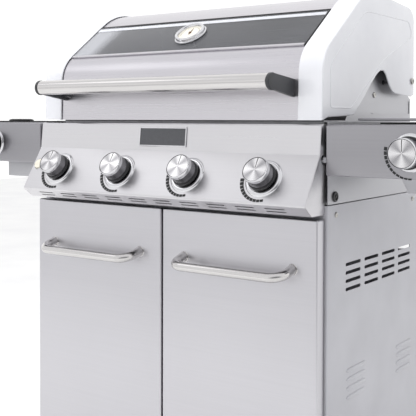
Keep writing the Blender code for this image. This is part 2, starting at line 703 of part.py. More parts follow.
def light_button():
    """The push button for the panel's lights."""
    centre = on_slope(*BUTTON_AT)
    profile = [(0.0, 0.0060), (BUTTON_R - 0.0025, 0.0060), (BUTTON_R, 0.0045), (BUTTON_R, 0.0008),
               (BUTTON_R, -0.0060), (0.0, -0.0060)]
    return smooth(turned("light_button", profile, centre, SLOPE_OUT, CREAM, steps=20))


# ---------------------------------------------------------------- lid
def lid_line(off=0.0):
    """The section of the lid from its front edge over the top to its back edge, moved outwards by off."""
    corners = shifted(list(LID_CORNERS), off)
    return rounded(corners, [radius + off for radius in LID_RADII])


LEAN = unit(LID_CORNERS[1], LID_CORNERS[2])
LEAN_START = LID_CORNERS[1]
LEAN_OUT = Vector((0, -LEAN[1], LEAN[0]))
GLASS_SPAN = (0.0360, 0.1600)   # along the lean, from the corner it starts at
GLASS_H = 0.0030


def on_lean(distance, off=0.0):
    return along(LEAN_START, (LEAN_START[0] + LEAN[0], LEAN_START[1] + LEAN[1]), distance, off)


def lid_shell():
    """One curved sheet with a window cut in its sloping front."""
    sheet = outline("lid_shell", lid_line() + lid_line(-SHEET)[::-1], "X", -LID_X - 0.008, LID_X + 0.008,
                    STEEL)
    hole = [on_lean(distance, off) for distance, off in (
        (GLASS_SPAN[0] + 0.006, -0.02), (GLASS_SPAN[1] - 0.006, -0.02), (GLASS_SPAN[1] - 0.006, 0.02),
        (GLASS_SPAN[0] + 0.006, 0.02))]
    window = outline("window_hole", hole, "X", -LID_X + 0.008, LID_X - 0.008, tool=True)
    return smooth(cut(sheet, window), 20)


def lid_window():
    """A flat pane on the sloping front, with a hole for the thermometer's stem."""
    pane = outline("lid_window", [on_lean(distance, off) for distance, off in (
        (GLASS_SPAN[0], GAP), (GLASS_SPAN[0], GLASS_H), (GLASS_SPAN[1], GLASS_H), (GLASS_SPAN[1], GAP))],
        "X", -LID_X + 0.0008, LID_X - 0.0008, GLASS)
    hole = cylinder("stem_hole", (0, *on_lean(THERMO_AT)), LEAN_OUT, 0.006, 0.03, tool=True, sides=12)
    return cut(pane, hole)


CAP_BOTTOM = (  # the lower edge of a cap's side, from its front to its back, with the notch over the ear
    (-0.1720, 0.9123), (-0.0790, 0.9157), (-0.0624, 0.9184), (-0.0221, 0.9496), (0.0160, 0.9822),
              (0.0396, 0.9999),
    (0.0560, 1.0085), (0.0739, 1.0095), (0.0850, 1.0010), (0.1020, 0.9790), (0.1180, 0.9668),
              (0.1322, 0.9635),
    (0.2188, 0.9594),
)


def lid_cap(name, side):
    """An end cap: a rim that wraps the steel's end and a side with a notch over the firebox's ear."""
    edge = lid_line(CAP_PROUD)
    back = edge[-1]
    line = edge[:-1] + [(back[0], 0.9640), *CAP_BOTTOM[::-1], (edge[0][0] + 0.006, edge[0][1])]
    x = sorted(mirror_x((LID_X, CAP_X), side))
    cap = outline(name, line, "X", x[0], x[1], WHITE)
    edge_bevel = cap.modifiers.new("edge", "BEVEL")
    edge_bevel.width, edge_bevel.segments = 0.0040, 1
    edge_bevel.limit_method = "ANGLE"
    edge_bevel.angle_limit = math.radians(60)
    inner = lid_line(CAP_PROUD - CAP_WALL)
    rim_end = LID_AXIS[1] + 0.0020
    open_below = [*inner[:-1], (inner[-1][0], rim_end), (inner[-1][0] + 0.02, rim_end),
                  (inner[-1][0] + 0.02, 0.88), (inner[0][0] + 0.0001, 0.88)]
    hollow_x = sorted(mirror_x((LID_X - 0.01, CAP_X - CAP_WALL), side))
    hollow = outline("cap_hollow", open_below, "X", hollow_x[0], hollow_x[1], tool=True)
    pin = cylinder("cap_pin_hole", (side * CAP_X, *LID_AXIS), (1, 0, 0), 0.0046, 0.02, tool=True, sides=12)
    return smooth(cut(cap, pin, hollow), 25)


def hinge_bolt(name, side):
    """The bolt that the lid turns on, through the cap and the firebox's ear."""
    shaft = cylinder(name, (side * 0.3445, *LID_AXIS), (1, 0, 0), 0.0040, 0.0295, CHROME, sides=12)
    head = cylinder("bolt_head", (side * (CAP_X + 0.0022), *LID_AXIS), (1, 0, 0), 0.0072, 0.0032, tool=True,
                    sides=16)
    nut = cylinder("bolt_nut", (side * 0.3330, *LID_AXIS), (1, 0, 0), 0.0065, 0.0050, tool=True, sides=6)
    return join(shaft, head, nut)


def lid_handle_tube():
    """A straight tube between the two end brackets."""
    return smooth(cylinder("lid_handle_tube", (0, HANDLE_Y, HANDLE_Z), (1, 0, 0), HANDLE_R, 2 * HANDLE_X,
                           STEEL,
                           sides=24))


def lid_handle_bracket(name, side):
    """A moulded arm from the lid's front, rounded over the tube's end."""
    radius = HANDLE_R + 0.0006
    line = []
    for degrees in range(70, 291, 20):
        angle = math.radians(degrees)
        line.append((HANDLE_Y + radius * math.cos(angle), HANDLE_Z + radius * math.sin(angle)))
    line += [(-0.1903, 0.9498), (-0.1896, 0.9835)]
    x = sorted(mirror_x((HANDLE_X + GAP, HANDLE_X + 0.0078), side))
    arm = outline(name, line, "X", x[0], x[1], BLACK)
    foot_line = [(-0.2060, 0.9530), (-0.1903, 0.9498), (-0.1896, 0.9835), (-0.2060, 0.9840)]
    foot_x = sorted(mirror_x((HANDLE_X - 0.016, HANDLE_X + 0.001), side))
    foot = outline("foot", foot_line, "X", foot_x[0], foot_x[1], tool=True)
    return smooth(join(arm, foot))


THERMO_AT = 0.0960      # along the lean, from the corner it starts at
THERMO_R, THERMO_H = 0.0335, 0.0142
FLANGE_R, FLANGE_H = 0.0362, 0.0070
DIAL_R, DIAL_H = 0.0262, 0.0090
NEEDLE_H = 0.0102
PROBE_LENGTH = 0.0600


def thermometer():
    """The thermometer's case on its flange, with a sunk dial, and the probe that reaches through the pane."""
    base = GLASS_H + GAP
    profile = [(DIAL_R, THERMO_H - 0.0022), (DIAL_R + 0.0025, THERMO_H), (THERMO_R - 0.0018, THERMO_H),
               (THERMO_R, THERMO_H - 0.0020), (THERMO_R, FLANGE_H + 0.0010), (FLANGE_R, FLANGE_H),
               (FLANGE_R, base + 0.0012), (FLANGE_R - 0.0012, base), (0.0045, base), (0.0045, -0.0100),
               (0.0025, -0.0120), (0.0025, -PROBE_LENGTH), (0.0, -PROBE_LENGTH), (0.0, DIAL_H),
               (DIAL_R, DIAL_H)]
    centre = (0, *on_lean(THERMO_AT))
    return smooth(turned("thermometer", profile_loop_from(profile), centre, LEAN_OUT, CHROME, steps=20))


def profile_loop_from(points):
    """The same closed profile, started at its second point on the axis."""
    second = [i for i, (radius, _) in enumerate(points) if radius == 0.0][1]
    return points[second:] + points[:second]


def thermometer_needle():
    """A pointer on the dial's centre, which turns about the thermometer's axis."""
    line = [(-0.0009, -0.0065), (0.0009, -0.0065), (0.0013, 0.0), (0.0004, 0.0175), (-0.0004, 0.0175),
            (-0.0013, 0.0)]
    needle = outline("thermometer_needle", line, "Z", NEEDLE_H - 0.0007, NEEDLE_H, RED)
    hub = cylinder("hub", (0, 0, NEEDLE_H + 0.0001), (0, 0, 1), 0.0032, 0.0016, tool=True, sides=12)
    frame = Matrix.Translation((0, *on_lean(THERMO_AT))) @ Matrix(
        ((1, 0, 0, 0), (0, LEAN[0], LEAN_OUT[1], 0), (0, LEAN[1], LEAN_OUT[2], 0), (0, 0, 0, 1)))
    needle.matrix_world = frame
    hub.matrix_world = frame
    return join(needle, hub)


# ---------------------------------------------------------------- side shelves
def shelf(name, side, hole, extras):
    """A formed shelf with a deep fascia at the front and a bracket against the firebox's skin."""
    x = (SHELF_X0, SHELF_X1)
    body = box(name, mirror_x(x, side), (SHELF_FRONT, SHELF_BACK), (FASCIA_BOTTOM, SHELF_TOP), STEEL)
    hollow = box("shelf_hollow", mirror_x((x[0] + SHEET, x[1] - SHEET), side),
                 (SHELF_FRONT + SHEET, SHELF_BACK - SHEET), (FASCIA_BOTTOM - 0.01, SHELF_TOP - SHEET),
                 tool=True)
    under = box("shelf_under", mirror_x((x[0] - 0.01, x[1] + 0.01), side),
                (SHELF_FRONT + SHEET, SHELF_BACK + 0.01),
                (FASCIA_BOTTOM - 0.02, SHELF_LIP), tool=True)
    ring = bezel_ring((side * SIDE_KNOB_X, SHELF_FRONT, SIDE_KNOB_Z), (0, -1, 0), SIDE_BEZEL_R)
    stem = cylinder("side_stem_hole", (side * SIDE_KNOB_X, SHELF_FRONT, SIDE_KNOB_Z), (0, 1, 0), 0.0070,
                    0.02,
                    tool=True, sides=12)
    cut(body, hollow, under, hole)
    join(body, ring, *extras)
    return cut(body, stem)


def left_shelf():
    """The left shelf, with a round hole for the pot burner and a cover box for its igniter."""
    hole = cylinder("pot_hole", (*POT_BURNER, SHELF_TOP), (0, 0, 1), 0.0850, 0.03, tool=True, sides=28)
    wall = box("igniter_wall", (-SHELF_X0, -SHELF_X0 - SHEET), (-0.150, -0.030), (0.780, SHELF_LIP + 0.010),
               tool=True)
    cover = box("igniter_cover", (-SHELF_X0 - 0.0005, -0.5350), (-0.150, -0.0305), (0.7690, 0.8250),
                tool=True)
    inside = box("igniter_inside", (-SHELF_X0 - SHEET - 0.001, -0.5335), (-0.1485, -0.0320),
                 (0.7620, 0.8235), tool=True)
    hem = box("igniter_hem", (-SHELF_X0 - 0.0010, -0.5460), (-0.158, -0.0240), (0.7655, 0.7695), tool=True)
    return cut(shelf("left_shelf", -1, hole, (wall, cover, hem)), inside)


def right_shelf():
    """The right shelf, with a square hole for the sear burner and two lugs for its lid."""
    hole = box("sear_hole", SEAR_X, SEAR_Y, (SHELF_TOP - 0.02, SHELF_TOP + 0.01), tool=True)
    lugs = [box("lug", (x - 0.006, x + 0.006), (SEAR_AXIS[0] - 0.0062, SEAR_AXIS[0] + 0.0062),
                (SHELF_TOP - 0.0010, SEAR_AXIS[1] + 0.0050), tool=True) for x in (0.440, 0.620)]
    body = shelf("right_shelf", 1, hole, lugs)
    pin = cylinder("lid_pin_hole", (0.530, *SEAR_AXIS), (1, 0, 0), 0.0029, 0.26, tool=True, sides=12)
    return cut(body, pin)


def pot_burner():
    """The left burner: a round drip bowl with the burner's head on its column."""
    top, rim, deep = SHELF_TOP + 0.0013, SHELF_TOP + GAP, 0.8380
    profile = [(0.0, 0.8860), (0.0260, 0.8860), (0.0280, 0.8700), (0.0160, 0.8660), (0.0160, deep + 0.0012),
               (0.0680, deep + 0.0012), (0.0830, top), (0.0920, top), (0.0920, rim), (0.0842, rim),
               (0.0690, deep), (0.0120, deep), (0.0120, deep - 0.0180), (0.0, deep - 0.0180)]
    return smooth(turned("pot_burner", profile, (*POT_BURNER, 0.0), (0, 0, 1), STEEL, steps=20))


def pot_support():
    """A cast trivet over the left burner: a raised crown on four arms that rest on the bowl's rim."""
    z = SHELF_TOP + 0.0016
    ring = turned("pot_support", [(0.0220, z + 0.0080), (0.0300, z + 0.0060), (0.0310, z), (0.0170, z),
                                  (0.0170, z + 0.0060)],
                  (*POT_BURNER, 0.0), (0, 0, 1), IRON)
    arms = []
    for degrees in range(0, 360, 90):
        arm = box("arm", (0.0290, 0.0900), (-0.0025, 0.0025), (z, z + 0.0030), tool=True)
        arm.data.transform(Matrix.Translation((*POT_BURNER, 0.0)) @ Matrix.Rotation(math.radians(degrees),
                                                                                    4, "Z"))
        arms.append(arm)
    return smooth(join(ring, together("arms", arms)))


SEAR_INSET, SEAR_GRATE_Z = 0.0060, (0.8930, 0.9030)


def sear_burner():
    """The right burner's box, with sloping sides, a rim on the shelf and a ceramic block in it."""
    x, y = SEAR_X, SEAR_Y
    z = (0.7700, SHELF_TOP + 0.0013)
    rim = box("sear_burner", (x[0] - 0.008, x[1] + 0.008), (y[0] - 0.008, y[1] + 0.008),
              (SHELF_TOP + GAP, z[1]), STEEL)
    hopper = tapered("hopper", x, y, (z[0], z[1] - 0.0004), 0.0006, 0.045)
    inside = tapered("hopper_inside", x, y, (z[0] + SHEET, z[1] + 0.001), 0.0021, 0.046)
    inset = 0.0260
    block = box("ceramic", (x[0] + inset, x[1] - inset), (y[0] + inset, y[1] - inset), (0.8300, 0.8420),
                tool=True)
    throat = cylinder("throat", (sum(x) / 2, sum(y) / 2 - 0.030, z[0]), (0, 0, 1), 0.012, 0.02, tool=True,
                      sides=12)
    return cut(join(cut(join(rim, hopper), inside), block), throat)


def tapered(name, x, y, z, inset, taper):
    """A block whose foot is smaller than its top by taper on every side."""
    piece = box(name, (x[0] + inset, x[1] - inset), (y[0] + inset, y[1] - inset), z, tool=True)
    middle = Vector((sum(x) / 2, sum(y) / 2, 0))
    for vertex in piece.data.vertices:
        if vertex.co.z < sum(z) / 2:
            away = vertex.co - middle
            vertex.co.x -= math.copysign(taper, away.x)
            vertex.co.y -= math.copysign(taper, away.y)
    return piece


def sear_lid():
    """A flat cover with turned-down edges and its hinge pin along the back."""
    x, y, z = SEAR_LID_X, SEAR_LID_Y, SEAR_LID_Z
    lid = box("sear_lid", x, y, z, STEEL)
    hollow = box("lid_hollow", (x[0] + SHEET, x[1] - SHEET), (y[0] + SHEET, y[1] - SHEET),
                 (z[0] - 0.01, z[1] - SHEET),
                 tool=True)
    pin = cylinder("lid_pin", (0.530, *SEAR_AXIS), (1, 0, 0), 0.0025, 0.240, tool=True, sides=10)
    tabs = [box("tab", (px - 0.010, px + 0.010), (y[1] - SHEET / 2, SEAR_AXIS[0]),
                (SEAR_AXIS[1] - 0.0010, SEAR_AXIS[1] + 0.0010),
                tool=True) for px in (0.420, 0.530, 0.640)]
    return join(cut(lid, hollow), together("tabs", tabs), pin)


# ---------------------------------------------------------------- casters
def caster_fork(name, x, y):
    """A swivel fork: a race under the cart, two legs beside the wheel and the axle between them."""
    top = BASE_Z - GAP
    axle = (y + CASTER_TRAIL, WHEEL_R)
    race = cylinder(name, (x, y, top - 0.0045), (0, 0, 1), 0.0230, 0.0090, CHROME, sides=16)
    bridge = box("bridge", (x - 0.0165, x + 0.0165), (y - 0.018, y + 0.034), (top - 0.0115, top - 0.0085),
                 tool=True)
    leg_line = [(y - 0.018, top - 0.0090), (y + 0.034, top - 0.0090), (y + 0.052, 0.0620),
                (y + 0.050, 0.0560),
                (axle[0] + 0.009, axle[1] - 0.006), (axle[0], axle[1] - 0.010),
                (axle[0] - 0.009, axle[1] - 0.006)]
    legs = [outline("leg", leg_line, "X", x + dx, x + dx + 0.0020, tool=True) for dx in (-0.0165, 0.0145)]
    axle_bar = cylinder("axle", (x, *axle), (1, 0, 0), 0.0040, 0.0360, tool=True, sides=10)
    return join(race, bridge, *legs, axle_bar)


def wheel(name, x, y):
    """A tyre on a solid hub, with a bore that runs on the fork's axle."""
    half = WHEEL_W / 2
    profile = [(WHEEL_R - 0.0035, half), (WHEEL_R, half - 0.0045), (WHEEL_R, 0.0045 - half),
               (WHEEL_R - 0.0035, -half),
               (0.0100, -half), (0.0090, -half - 0.0020), (0.0044, -half - 0.0020), (0.0044, half + 0.0020),
               (0.0090, half + 0.0020), (0.0100, half)]
    centre = (x, y + CASTER_TRAIL, WHEEL_R)
    return set_origin(smooth(turned(name, profile, centre, (1, 0, 0), TYRE, steps=20)), centre)


PEDAL_PIVOT = (0.0470, 0.0645)      # behind the caster's swivel, and above the ground


def brake_pedal(name, x, y):
    """A foot pedal between the fork's legs that presses on the tyre."""
    line = [(y + 0.0470, 0.0680), (y + 0.0430, 0.0635), (y + 0.0490, 0.0590), (y + 0.0780, 0.0480),
            (y + 0.0800, 0.0510),
            (y + 0.0530, 0.0650)]
    return outline(name, line, "X", x - 0.0138, x + 0.0138, BLACK)


# ---------------------------------------------------------------- assembly
base_panel()
rear_panel()
header_rail()
for word, hand in (("left", -1), ("right", 1)):
    side_panel(f"{word}_side_panel", hand)
    opening_door = door(f"{word}_door", hand)
    grip = door_handle(f"{word}_door_handle", hand)
    grip.parent = opening_door
    grip.matrix_parent_inverse = Matrix.Translation((-DOOR_AXIS[0] * hand, -DOOR_AXIS[1], 0.0))
    hinge_bolt(f"{word}_hinge_bolt", hand)

firebox()
control_panel()
gas_manifold()
light_button()
for index, knob_x in enumerate(knob_places(), start=1):
    burner(index, knob_x)
    flame_tamer(index, knob_x - KNOB_OFFSET)
    knob(f"burner_knob_{index}", on_slope(knob_x, KNOB_DOWN), SLOPE_OUT)
GRATE_Y = (FIREBOX_FRONT + 0.0025, FIREBOX_BACK - 0.0025)
bar_grate("cooking_grate_left", (-0.3355, -0.0010), GRATE_Y, GRATE_Z, 11, IRON)
bar_grate("cooking_grate_right", (0.0010, 0.3355), GRATE_Y, GRATE_Z, 11, IRON)
warming_rack()
grease_tray()
grease_cup()

needle = thermometer_needle()
lid_pieces = [lid_shell(), lid_window(), thermometer(), lid_handle_tube()]
for word, hand in (("left", -1), ("right", 1)):
    lid_pieces += [lid_cap(f"lid_{word}_cap", hand), lid_handle_bracket(f"{word}_handle_bracket", hand)]
pivot("lid_pivot", (0, *LID_AXIS), needle, *lid_pieces)

left_shelf()
pot_burner()
pot_support()
knob("side_burner_knob", Vector((-SIDE_KNOB_X, SHELF_FRONT, SIDE_KNOB_Z)), Vector((0, -1, 0)))
right_shelf()
sear_burner()
bar_grate("sear_grate", (SEAR_X[0] + SEAR_INSET, SEAR_X[1] - SEAR_INSET),
          (SEAR_Y[0] + SEAR_INSET, SEAR_Y[1] - SEAR_INSET), SEAR_GRATE_Z, 7, IRON)
knob("sear_burner_knob", Vector((SIDE_KNOB_X, SHELF_FRONT, SIDE_KNOB_Z)), Vector((0, -1, 0)))
pivot("sear_lid_pivot", (0.530, *SEAR_AXIS), sear_lid())

for index, (caster_x, caster_y) in enumerate(caster_places(), start=1):
    swivel = pivot(f"caster_pivot_{index}", (caster_x, caster_y, BASE_Z),
                   caster_fork(f"caster_fork_{index}", caster_x, caster_y),
                   wheel(f"caster_wheel_{index}", caster_x, caster_y))
    if caster_y == CASTER_Y[0]:
        pedal = brake_pedal(f"brake_pedal_{index}", caster_x, caster_y)
        pedal_pivot = pivot(f"brake_pivot_{index}", (caster_x, caster_y + PEDAL_PIVOT[0], PEDAL_PIVOT[1]),
                            pedal)
        pedal_pivot.parent = swivel
        pedal_pivot.matrix_parent_inverse = swivel.matrix_world.inverted()
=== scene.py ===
"""A four-burner gas barbecue grill on a two-door cart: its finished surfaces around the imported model.

Metres, +Z up, -Y is the front. Each section makes one piece, or one group of like pieces.
"""

import math

import bmesh
import bpy
from mathutils import Matrix, Vector


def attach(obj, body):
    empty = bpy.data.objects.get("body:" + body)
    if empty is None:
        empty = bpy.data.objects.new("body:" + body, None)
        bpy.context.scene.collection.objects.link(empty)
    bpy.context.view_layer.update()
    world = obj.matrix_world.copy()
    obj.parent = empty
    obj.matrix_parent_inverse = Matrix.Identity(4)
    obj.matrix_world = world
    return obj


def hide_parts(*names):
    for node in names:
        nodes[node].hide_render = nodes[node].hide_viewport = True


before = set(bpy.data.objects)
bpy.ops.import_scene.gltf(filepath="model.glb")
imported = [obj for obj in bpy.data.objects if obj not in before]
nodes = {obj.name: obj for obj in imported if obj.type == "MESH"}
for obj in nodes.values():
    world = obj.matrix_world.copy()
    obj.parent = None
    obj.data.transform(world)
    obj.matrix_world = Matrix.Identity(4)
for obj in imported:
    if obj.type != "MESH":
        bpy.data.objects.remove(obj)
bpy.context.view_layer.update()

# ---------------------------------------------------------------- studio
# A pale floor in a bright room, a soft light overhead, one in front on the left, and a weak one that
# gives the control panel's slope its shine. A grey curtain hangs in front of the grill on the right.


def colour(code):
    """An sRGB hex colour as linear red, green, blue and alpha."""
    parts = [int(code[i:i + 2], 16) / 255 for i in (1, 3, 5)]
    return (*(c / 12.92 if c <= 0.04045 else ((c + 0.055) / 1.055) ** 2.4 for c in parts), 1.0)


def feed(tree, node, inputs):
    """Gives a node's inputs their values or links."""
    for key, value in inputs.items():
        if isinstance(value, bpy.types.NodeSocket):
            tree.links.new(value, node.inputs[key])
        else:
            node.inputs[key].default_value = value


def add(tree, kind, inputs=None, stops=None, **settings):
    """A node with its settings, its input values or links, and a ramp's stops."""
    made = tree.nodes.new(kind)
    for key, value in settings.items():
        setattr(made, key, value)
    feed(tree, made, inputs or {})
    if stops:
        ramp = made.color_ramp.elements
        while len(ramp) < len(stops):
            ramp.new(0.5)
        for element, (position, code) in zip(ramp, stops):
            element.position, element.color = position, colour(code)
    return made


def blank(name):
    """A new material with its node tree and its shader."""
    made = bpy.data.materials.new(name)
    made.use_nodes = True
    return made, made.node_tree, made.node_tree.nodes["Principled BSDF"]


def clouded(name, fineness, detail, stops, **finish):
    """A finish whose colour drifts with a noise this fine per metre. Also gives what a finish builds on:
    its tree, its shader, the piece's own coordinates and the noise."""
    made, tree, shader = blank(name)
    place = add(tree, "ShaderNodeTexCoord").outputs["Object"]
    noise = add(tree, "ShaderNodeTexNoise", {"Vector": place, "Scale": fineness, "Detail": detail})
    cloud = noise.outputs["Fac"]
    tone = add(tree, "ShaderNodeValToRGB", {"Fac": cloud}, stops)
    feed(tree, shader, {"Base Color": tone.outputs["Color"]})
    feed(tree, shader, {label.replace("_", " ").title(): value for label, value in finish.items()})
    return made, tree, shader, place, cloud


FLOOR_HALF = 9.0
# matt studio paint: even, with a faint roller mottle
floor_paint = clouded("studio_paint", 3.0, 3.0, [(0.3, "#F0F0F0"), (0.7, "#F6F6F5")], roughness=0.85)[0]
floor_mesh = bpy.data.meshes.new("floor")
shape = bmesh.new()
bmesh.ops.create_grid(shape, x_segments=1, y_segments=1, size=FLOOR_HALF)
shape.to_mesh(floor_mesh)
shape.free()
floor_mesh.materials.append(floor_paint)
floor = bpy.data.objects.new("floor", floor_mesh)
bpy.context.scene.collection.objects.link(floor)

room = bpy.data.worlds.new("studio_room")
room.use_nodes = True
bpy.context.scene.world = room
backdrop = room.node_tree
way = add(backdrop, "ShaderNodeTexCoord")
split = add(backdrop, "ShaderNodeSeparateXYZ", {"Vector": way.outputs["Generated"]})
# 1 behind the grill and 0 in front of it, with a soft change between
behind = add(backdrop, "ShaderNodeMapRange", {"Value": split.outputs["Y"], "From Min": -0.05,
                                              "From Max": 0.30, "To Min": 0.0, "To Max": 1.0})
height = add(backdrop, "ShaderNodeValToRGB", {"Fac": split.outputs["Z"]},
             [(0.0, "#DEDEE0"), (0.09, "#FFFFFF"), (0.34, "#EDEDEF"), (0.62, "#EDEDEF")])
blend = add(backdrop, "ShaderNodeMix", {0: behind.outputs["Result"], 6: height.outputs["Color"],
            7: colour("#FFFFFF")}, data_type="RGBA")
# a grey curtain round the camera, which gives round bright metal its darker streak
CURTAIN_WAY = (0.583, -0.812, 0.0)
facing = add(backdrop, "ShaderNodeVectorMath", {0: way.outputs["Generated"], 1: CURTAIN_WAY},
             operation="DOT_PRODUCT")
curtain = add(backdrop, "ShaderNodeMapRange", {"Value": facing.outputs["Value"], "From Min": 0.76,
                                               "From Max": 0.95, "To Min": 0.0, "To Max": 0.9})
seen = add(backdrop, "ShaderNodeMix", {0: curtain.outputs["Result"], 6: blend.outputs[2],
                                       7: colour("#7C7C7F")}, data_type="RGBA")
feed(backdrop, backdrop.nodes["Background"], {"Color": seen.outputs[2], "Strength": 1.14})


def soft_light(name, position, target, size, power):
    """A square soft box that faces its target."""
    lamp = bpy.data.lights.new(name, "AREA")
    lamp.shape, lamp.size, lamp.energy = "SQUARE", size, power
    made = bpy.data.objects.new(name, lamp)
    made.location = position
    made.rotation_euler = (Vector(target) - Vector(position)).to_track_quat("-Z", "Y").to_euler()
    made.visible_glossy = False
    bpy.context.scene.collection.objects.link(made)
    return made


soft_light("top_light", (-0.4, -0.9, 3.0), (0.0, 0.0, 0.8), 2.2, 30.0)
soft_light("front_light", (-2.6, -2.6, 1.9), (0.0, 0.0, 0.7), 1.8, 15.0)
soft_light("slope_light", (-1.62, -1.25, 2.50), (-0.1, -0.2, 0.8), 0.7, 1.0).visible_glossy = True

# The camera stands in front on the right, almost level, and its frame is moved down a little.
CAMERA_AT, CAMERA_WAY, CAMERA_TILT = (1.0849, -1.5629, 0.9073), (-0.58270, 0.81240, -0.02030), 0.14
LENS_MM, SENSOR_MM, FRAME_DOWN, NEAREST = 73.34, 36.0, -0.1707, 0.05
camera_data = bpy.data.cameras.new("camera")
camera_data.lens = LENS_MM
camera_data.sensor_width = SENSOR_MM
camera_data.shift_y = FRAME_DOWN
camera_data.clip_start = NEAREST
camera = bpy.data.objects.new("camera", camera_data)
look, tilt = Vector(CAMERA_WAY).normalized(), math.radians(CAMERA_TILT)
across = look.cross(Vector((0, 0, 1))).normalized()
upright = across.cross(look)
right = across * math.cos(tilt) + upright * math.sin(tilt)
up = upright * math.cos(tilt) - across * math.sin(tilt)
turn = Matrix((right, up, -look)).transposed().to_4x4()
camera.matrix_world = Matrix.Translation(CAMERA_AT) @ turn
bpy.context.scene.collection.objects.link(camera)
bpy.context.scene.camera = camera
bpy.context.scene.view_settings.view_transform = "Standard"

# ---------------------------------------------------------------- cart sides
# Each side is folded from 1.5 mm steel and powder coated light grey, with a rounded corner at the
# front and back, four rows of punched vents and two stacks of pressed louvres.
SHEET = 0.0015
SIDE_OUT, SIDE_FRONT, SIDE_BACK = 0.3659, -0.1856, 0.2710
SIDE_LOW, SIDE_HIGH, SIDE_FLANGE = 0.0930, 0.7505, 0.0210
VENT_FIRST, VENT_STEP, VENT_SIZE = (-0.1126, 0.6302), (0.0822, -0.0159), (0.0650, 0.0066)
LOUVRE_SIZE = (0.0830, 0.0085, 0.0026)
LOUVRES = ((-0.0653, 0.4290), (0.1670, 0.4245))     # middle of each stack's top louvre, in y and z
LOUVRE_DROP = 0.0172


def powder_coat(name, light, dark, roughness):
    """Powder coat: a satin film with a fine orange peel and a faint unevenness of tone."""
    made, tree, shader, place, _ = clouded(name, 7.0, 4.0, [(0.35, dark), (0.65, light)], metallic=0.25)
    peel = add(tree, "ShaderNodeTexNoise", {"Vector": place, "Scale": 420.0, "Detail": 2.0}).outputs["Fac"]
    dents = add(tree, "ShaderNodeBump", {"Height": peel, "Strength": 0.10, "Distance": 0.0003})
    sheen = add(tree, "ShaderNodeMapRange", {"Value": peel, "To Min": roughness - 0.05,
                                             "To Max": roughness + 0.06})
    feed(tree, shader, {"Normal": dents.outputs["Normal"], "Roughness": sheen.outputs["Result"]})
    return made


grey_coat = powder_coat("grey_powder_coat", "#C2C2C7", "#BABABF", 0.42)


def piece(name, shape, *finishes, crease=32):
    """An object for this shape, shaded smooth between its creases."""
    mesh = bpy.data.meshes.new(name)
    bmesh.ops.remove_doubles(shape, verts=shape.verts, dist=1e-6)
    bmesh.ops.recalc_face_normals(shape, faces=shape.faces)
    shape.to_mesh(mesh)
    shape.free()
    for finish in finishes:
        mesh.materials.append(finish)
    mesh.shade_smooth()
    mesh.set_sharp_from_angle(angle=math.radians(crease))
    made = bpy.data.objects.new(name, mesh)
    bpy.context.scene.collection.objects.link(made)
    return made


def unit(a, b):
    """The direction from one flat point to another."""
    length = math.hypot(b[0] - a[0], b[1] - a[1])
    return ((b[0] - a[0]) / length, (b[1] - a[1]) / length)


def rounded(points, radii, step=7.0):
    """An open flat line with an arc of its own radius at each inner corner."""
    line = [points[0]]
    for a, b, c, radius in zip(points, points[1:], points[2:], radii):
        before, after = unit(a, b), unit(b, c)
        bend = math.atan2(before[0] * after[1] - before[1] * after[0],
                          before[0] * after[0] + before[1] * after[1])
        reach, side = radius * math.tan(abs(bend) / 2), math.copysign(1.0, bend)
        start = (b[0] - before[0] * reach, b[1] - before[1] * reach)
        centre = (start[0] - before[1] * radius * side, start[1] + before[0] * radius * side)
        arm = (start[0] - centre[0], start[1] - centre[1])
        steps = max(2, math.ceil(abs(math.degrees(bend)) / step))
        for i in range(steps + 1):
            c0, s0 = math.cos(bend * i / steps), math.sin(bend * i / steps)
            line.append((centre[0] + arm[0] * c0 - arm[1] * s0, centre[1] + arm[0] * s0 + arm[1] * c0))
    line.append(points[-1])
    return line


def beside(line, off):
    """The same open line moved sideways, to its left."""
    moved = []
    for i, point in enumerate(line):
        before = unit(line[max(i - 1, 0)], line[max(i, 1)])
        after = unit(line[min(i, len(line) - 2)], line[min(i + 1, len(line) - 1)])
        turn_share = (before[0] * after[0] + before[1] * after[1] + 1) / 2
        moved.append((point[0] - (before[1] + after[1]) / 2 * off / turn_share,
                      point[1] + (before[0] + after[0]) / 2 * off / turn_share))
    return moved


def in_space(axis, a, b, along):
    """A flat point and a distance along an axis as a place. X takes (y, z), Y (x, z) and Z (x, y)."""
    return {"X": (along, a, b), "Y": (a, along, b), "Z": (a, b, along)}[axis]


def prism(outline, axis, low, high, radius=0.0, segments=3):
    """A closed flat outline extruded along an axis, with its two rims rounded."""
    shape = bmesh.new()
    rings = [[shape.verts.new(in_space(axis, a, b, along)) for a, b in outline] for along in (low, high)]
    ends = [shape.faces.new(ring) for ring in rings]
    for i in range(len(outline)):
        j = (i + 1) % len(outline)
        shape.faces.new((rings[0][i], rings[0][j], rings[1][j], rings[1][i]))
    bmesh.ops.recalc_face_normals(shape, faces=shape.faces)
    if radius:
        rims = list({edge for end in ends for edge in end.edges})
        bmesh.ops.bevel(shape, geom=rims, offset=radius, segments=segments, profile=0.5, affect="EDGES",
                        clamp_overlap=True)
    return shape


def strip(line, thickness, axis, low, high):
    """An open line of sheet, this thick to its left, extruded along an axis."""
    return prism(line + beside(line, thickness)[::-1], axis, low, high)


def block(low, high, radius=0.0, segments=3):
    """A block between two corners with every edge rounded."""
    shape = bmesh.new()
    bmesh.ops.create_cube(shape, size=1.0)
    low, high = Vector(low), Vector(high)
    shape.transform(Matrix.Translation((low + high) / 2) @ Matrix.Diagonal((*(high - low), 1.0)))
    if radius:
        bmesh.ops.bevel(shape, geom=shape.edges[:], offset=radius, segments=segments, profile=0.5,
                        affect="EDGES")
    return shape


def merged(*shapes):
    """Several closed shapes in one, each still closed."""
    whole = bmesh.new()
    for shape in shapes:
        mesh = bpy.data.meshes.new("part")
        shape.to_mesh(mesh)
        shape.free()
        whole.from_mesh(mesh)
        bpy.data.meshes.remove(mesh)
    return whole


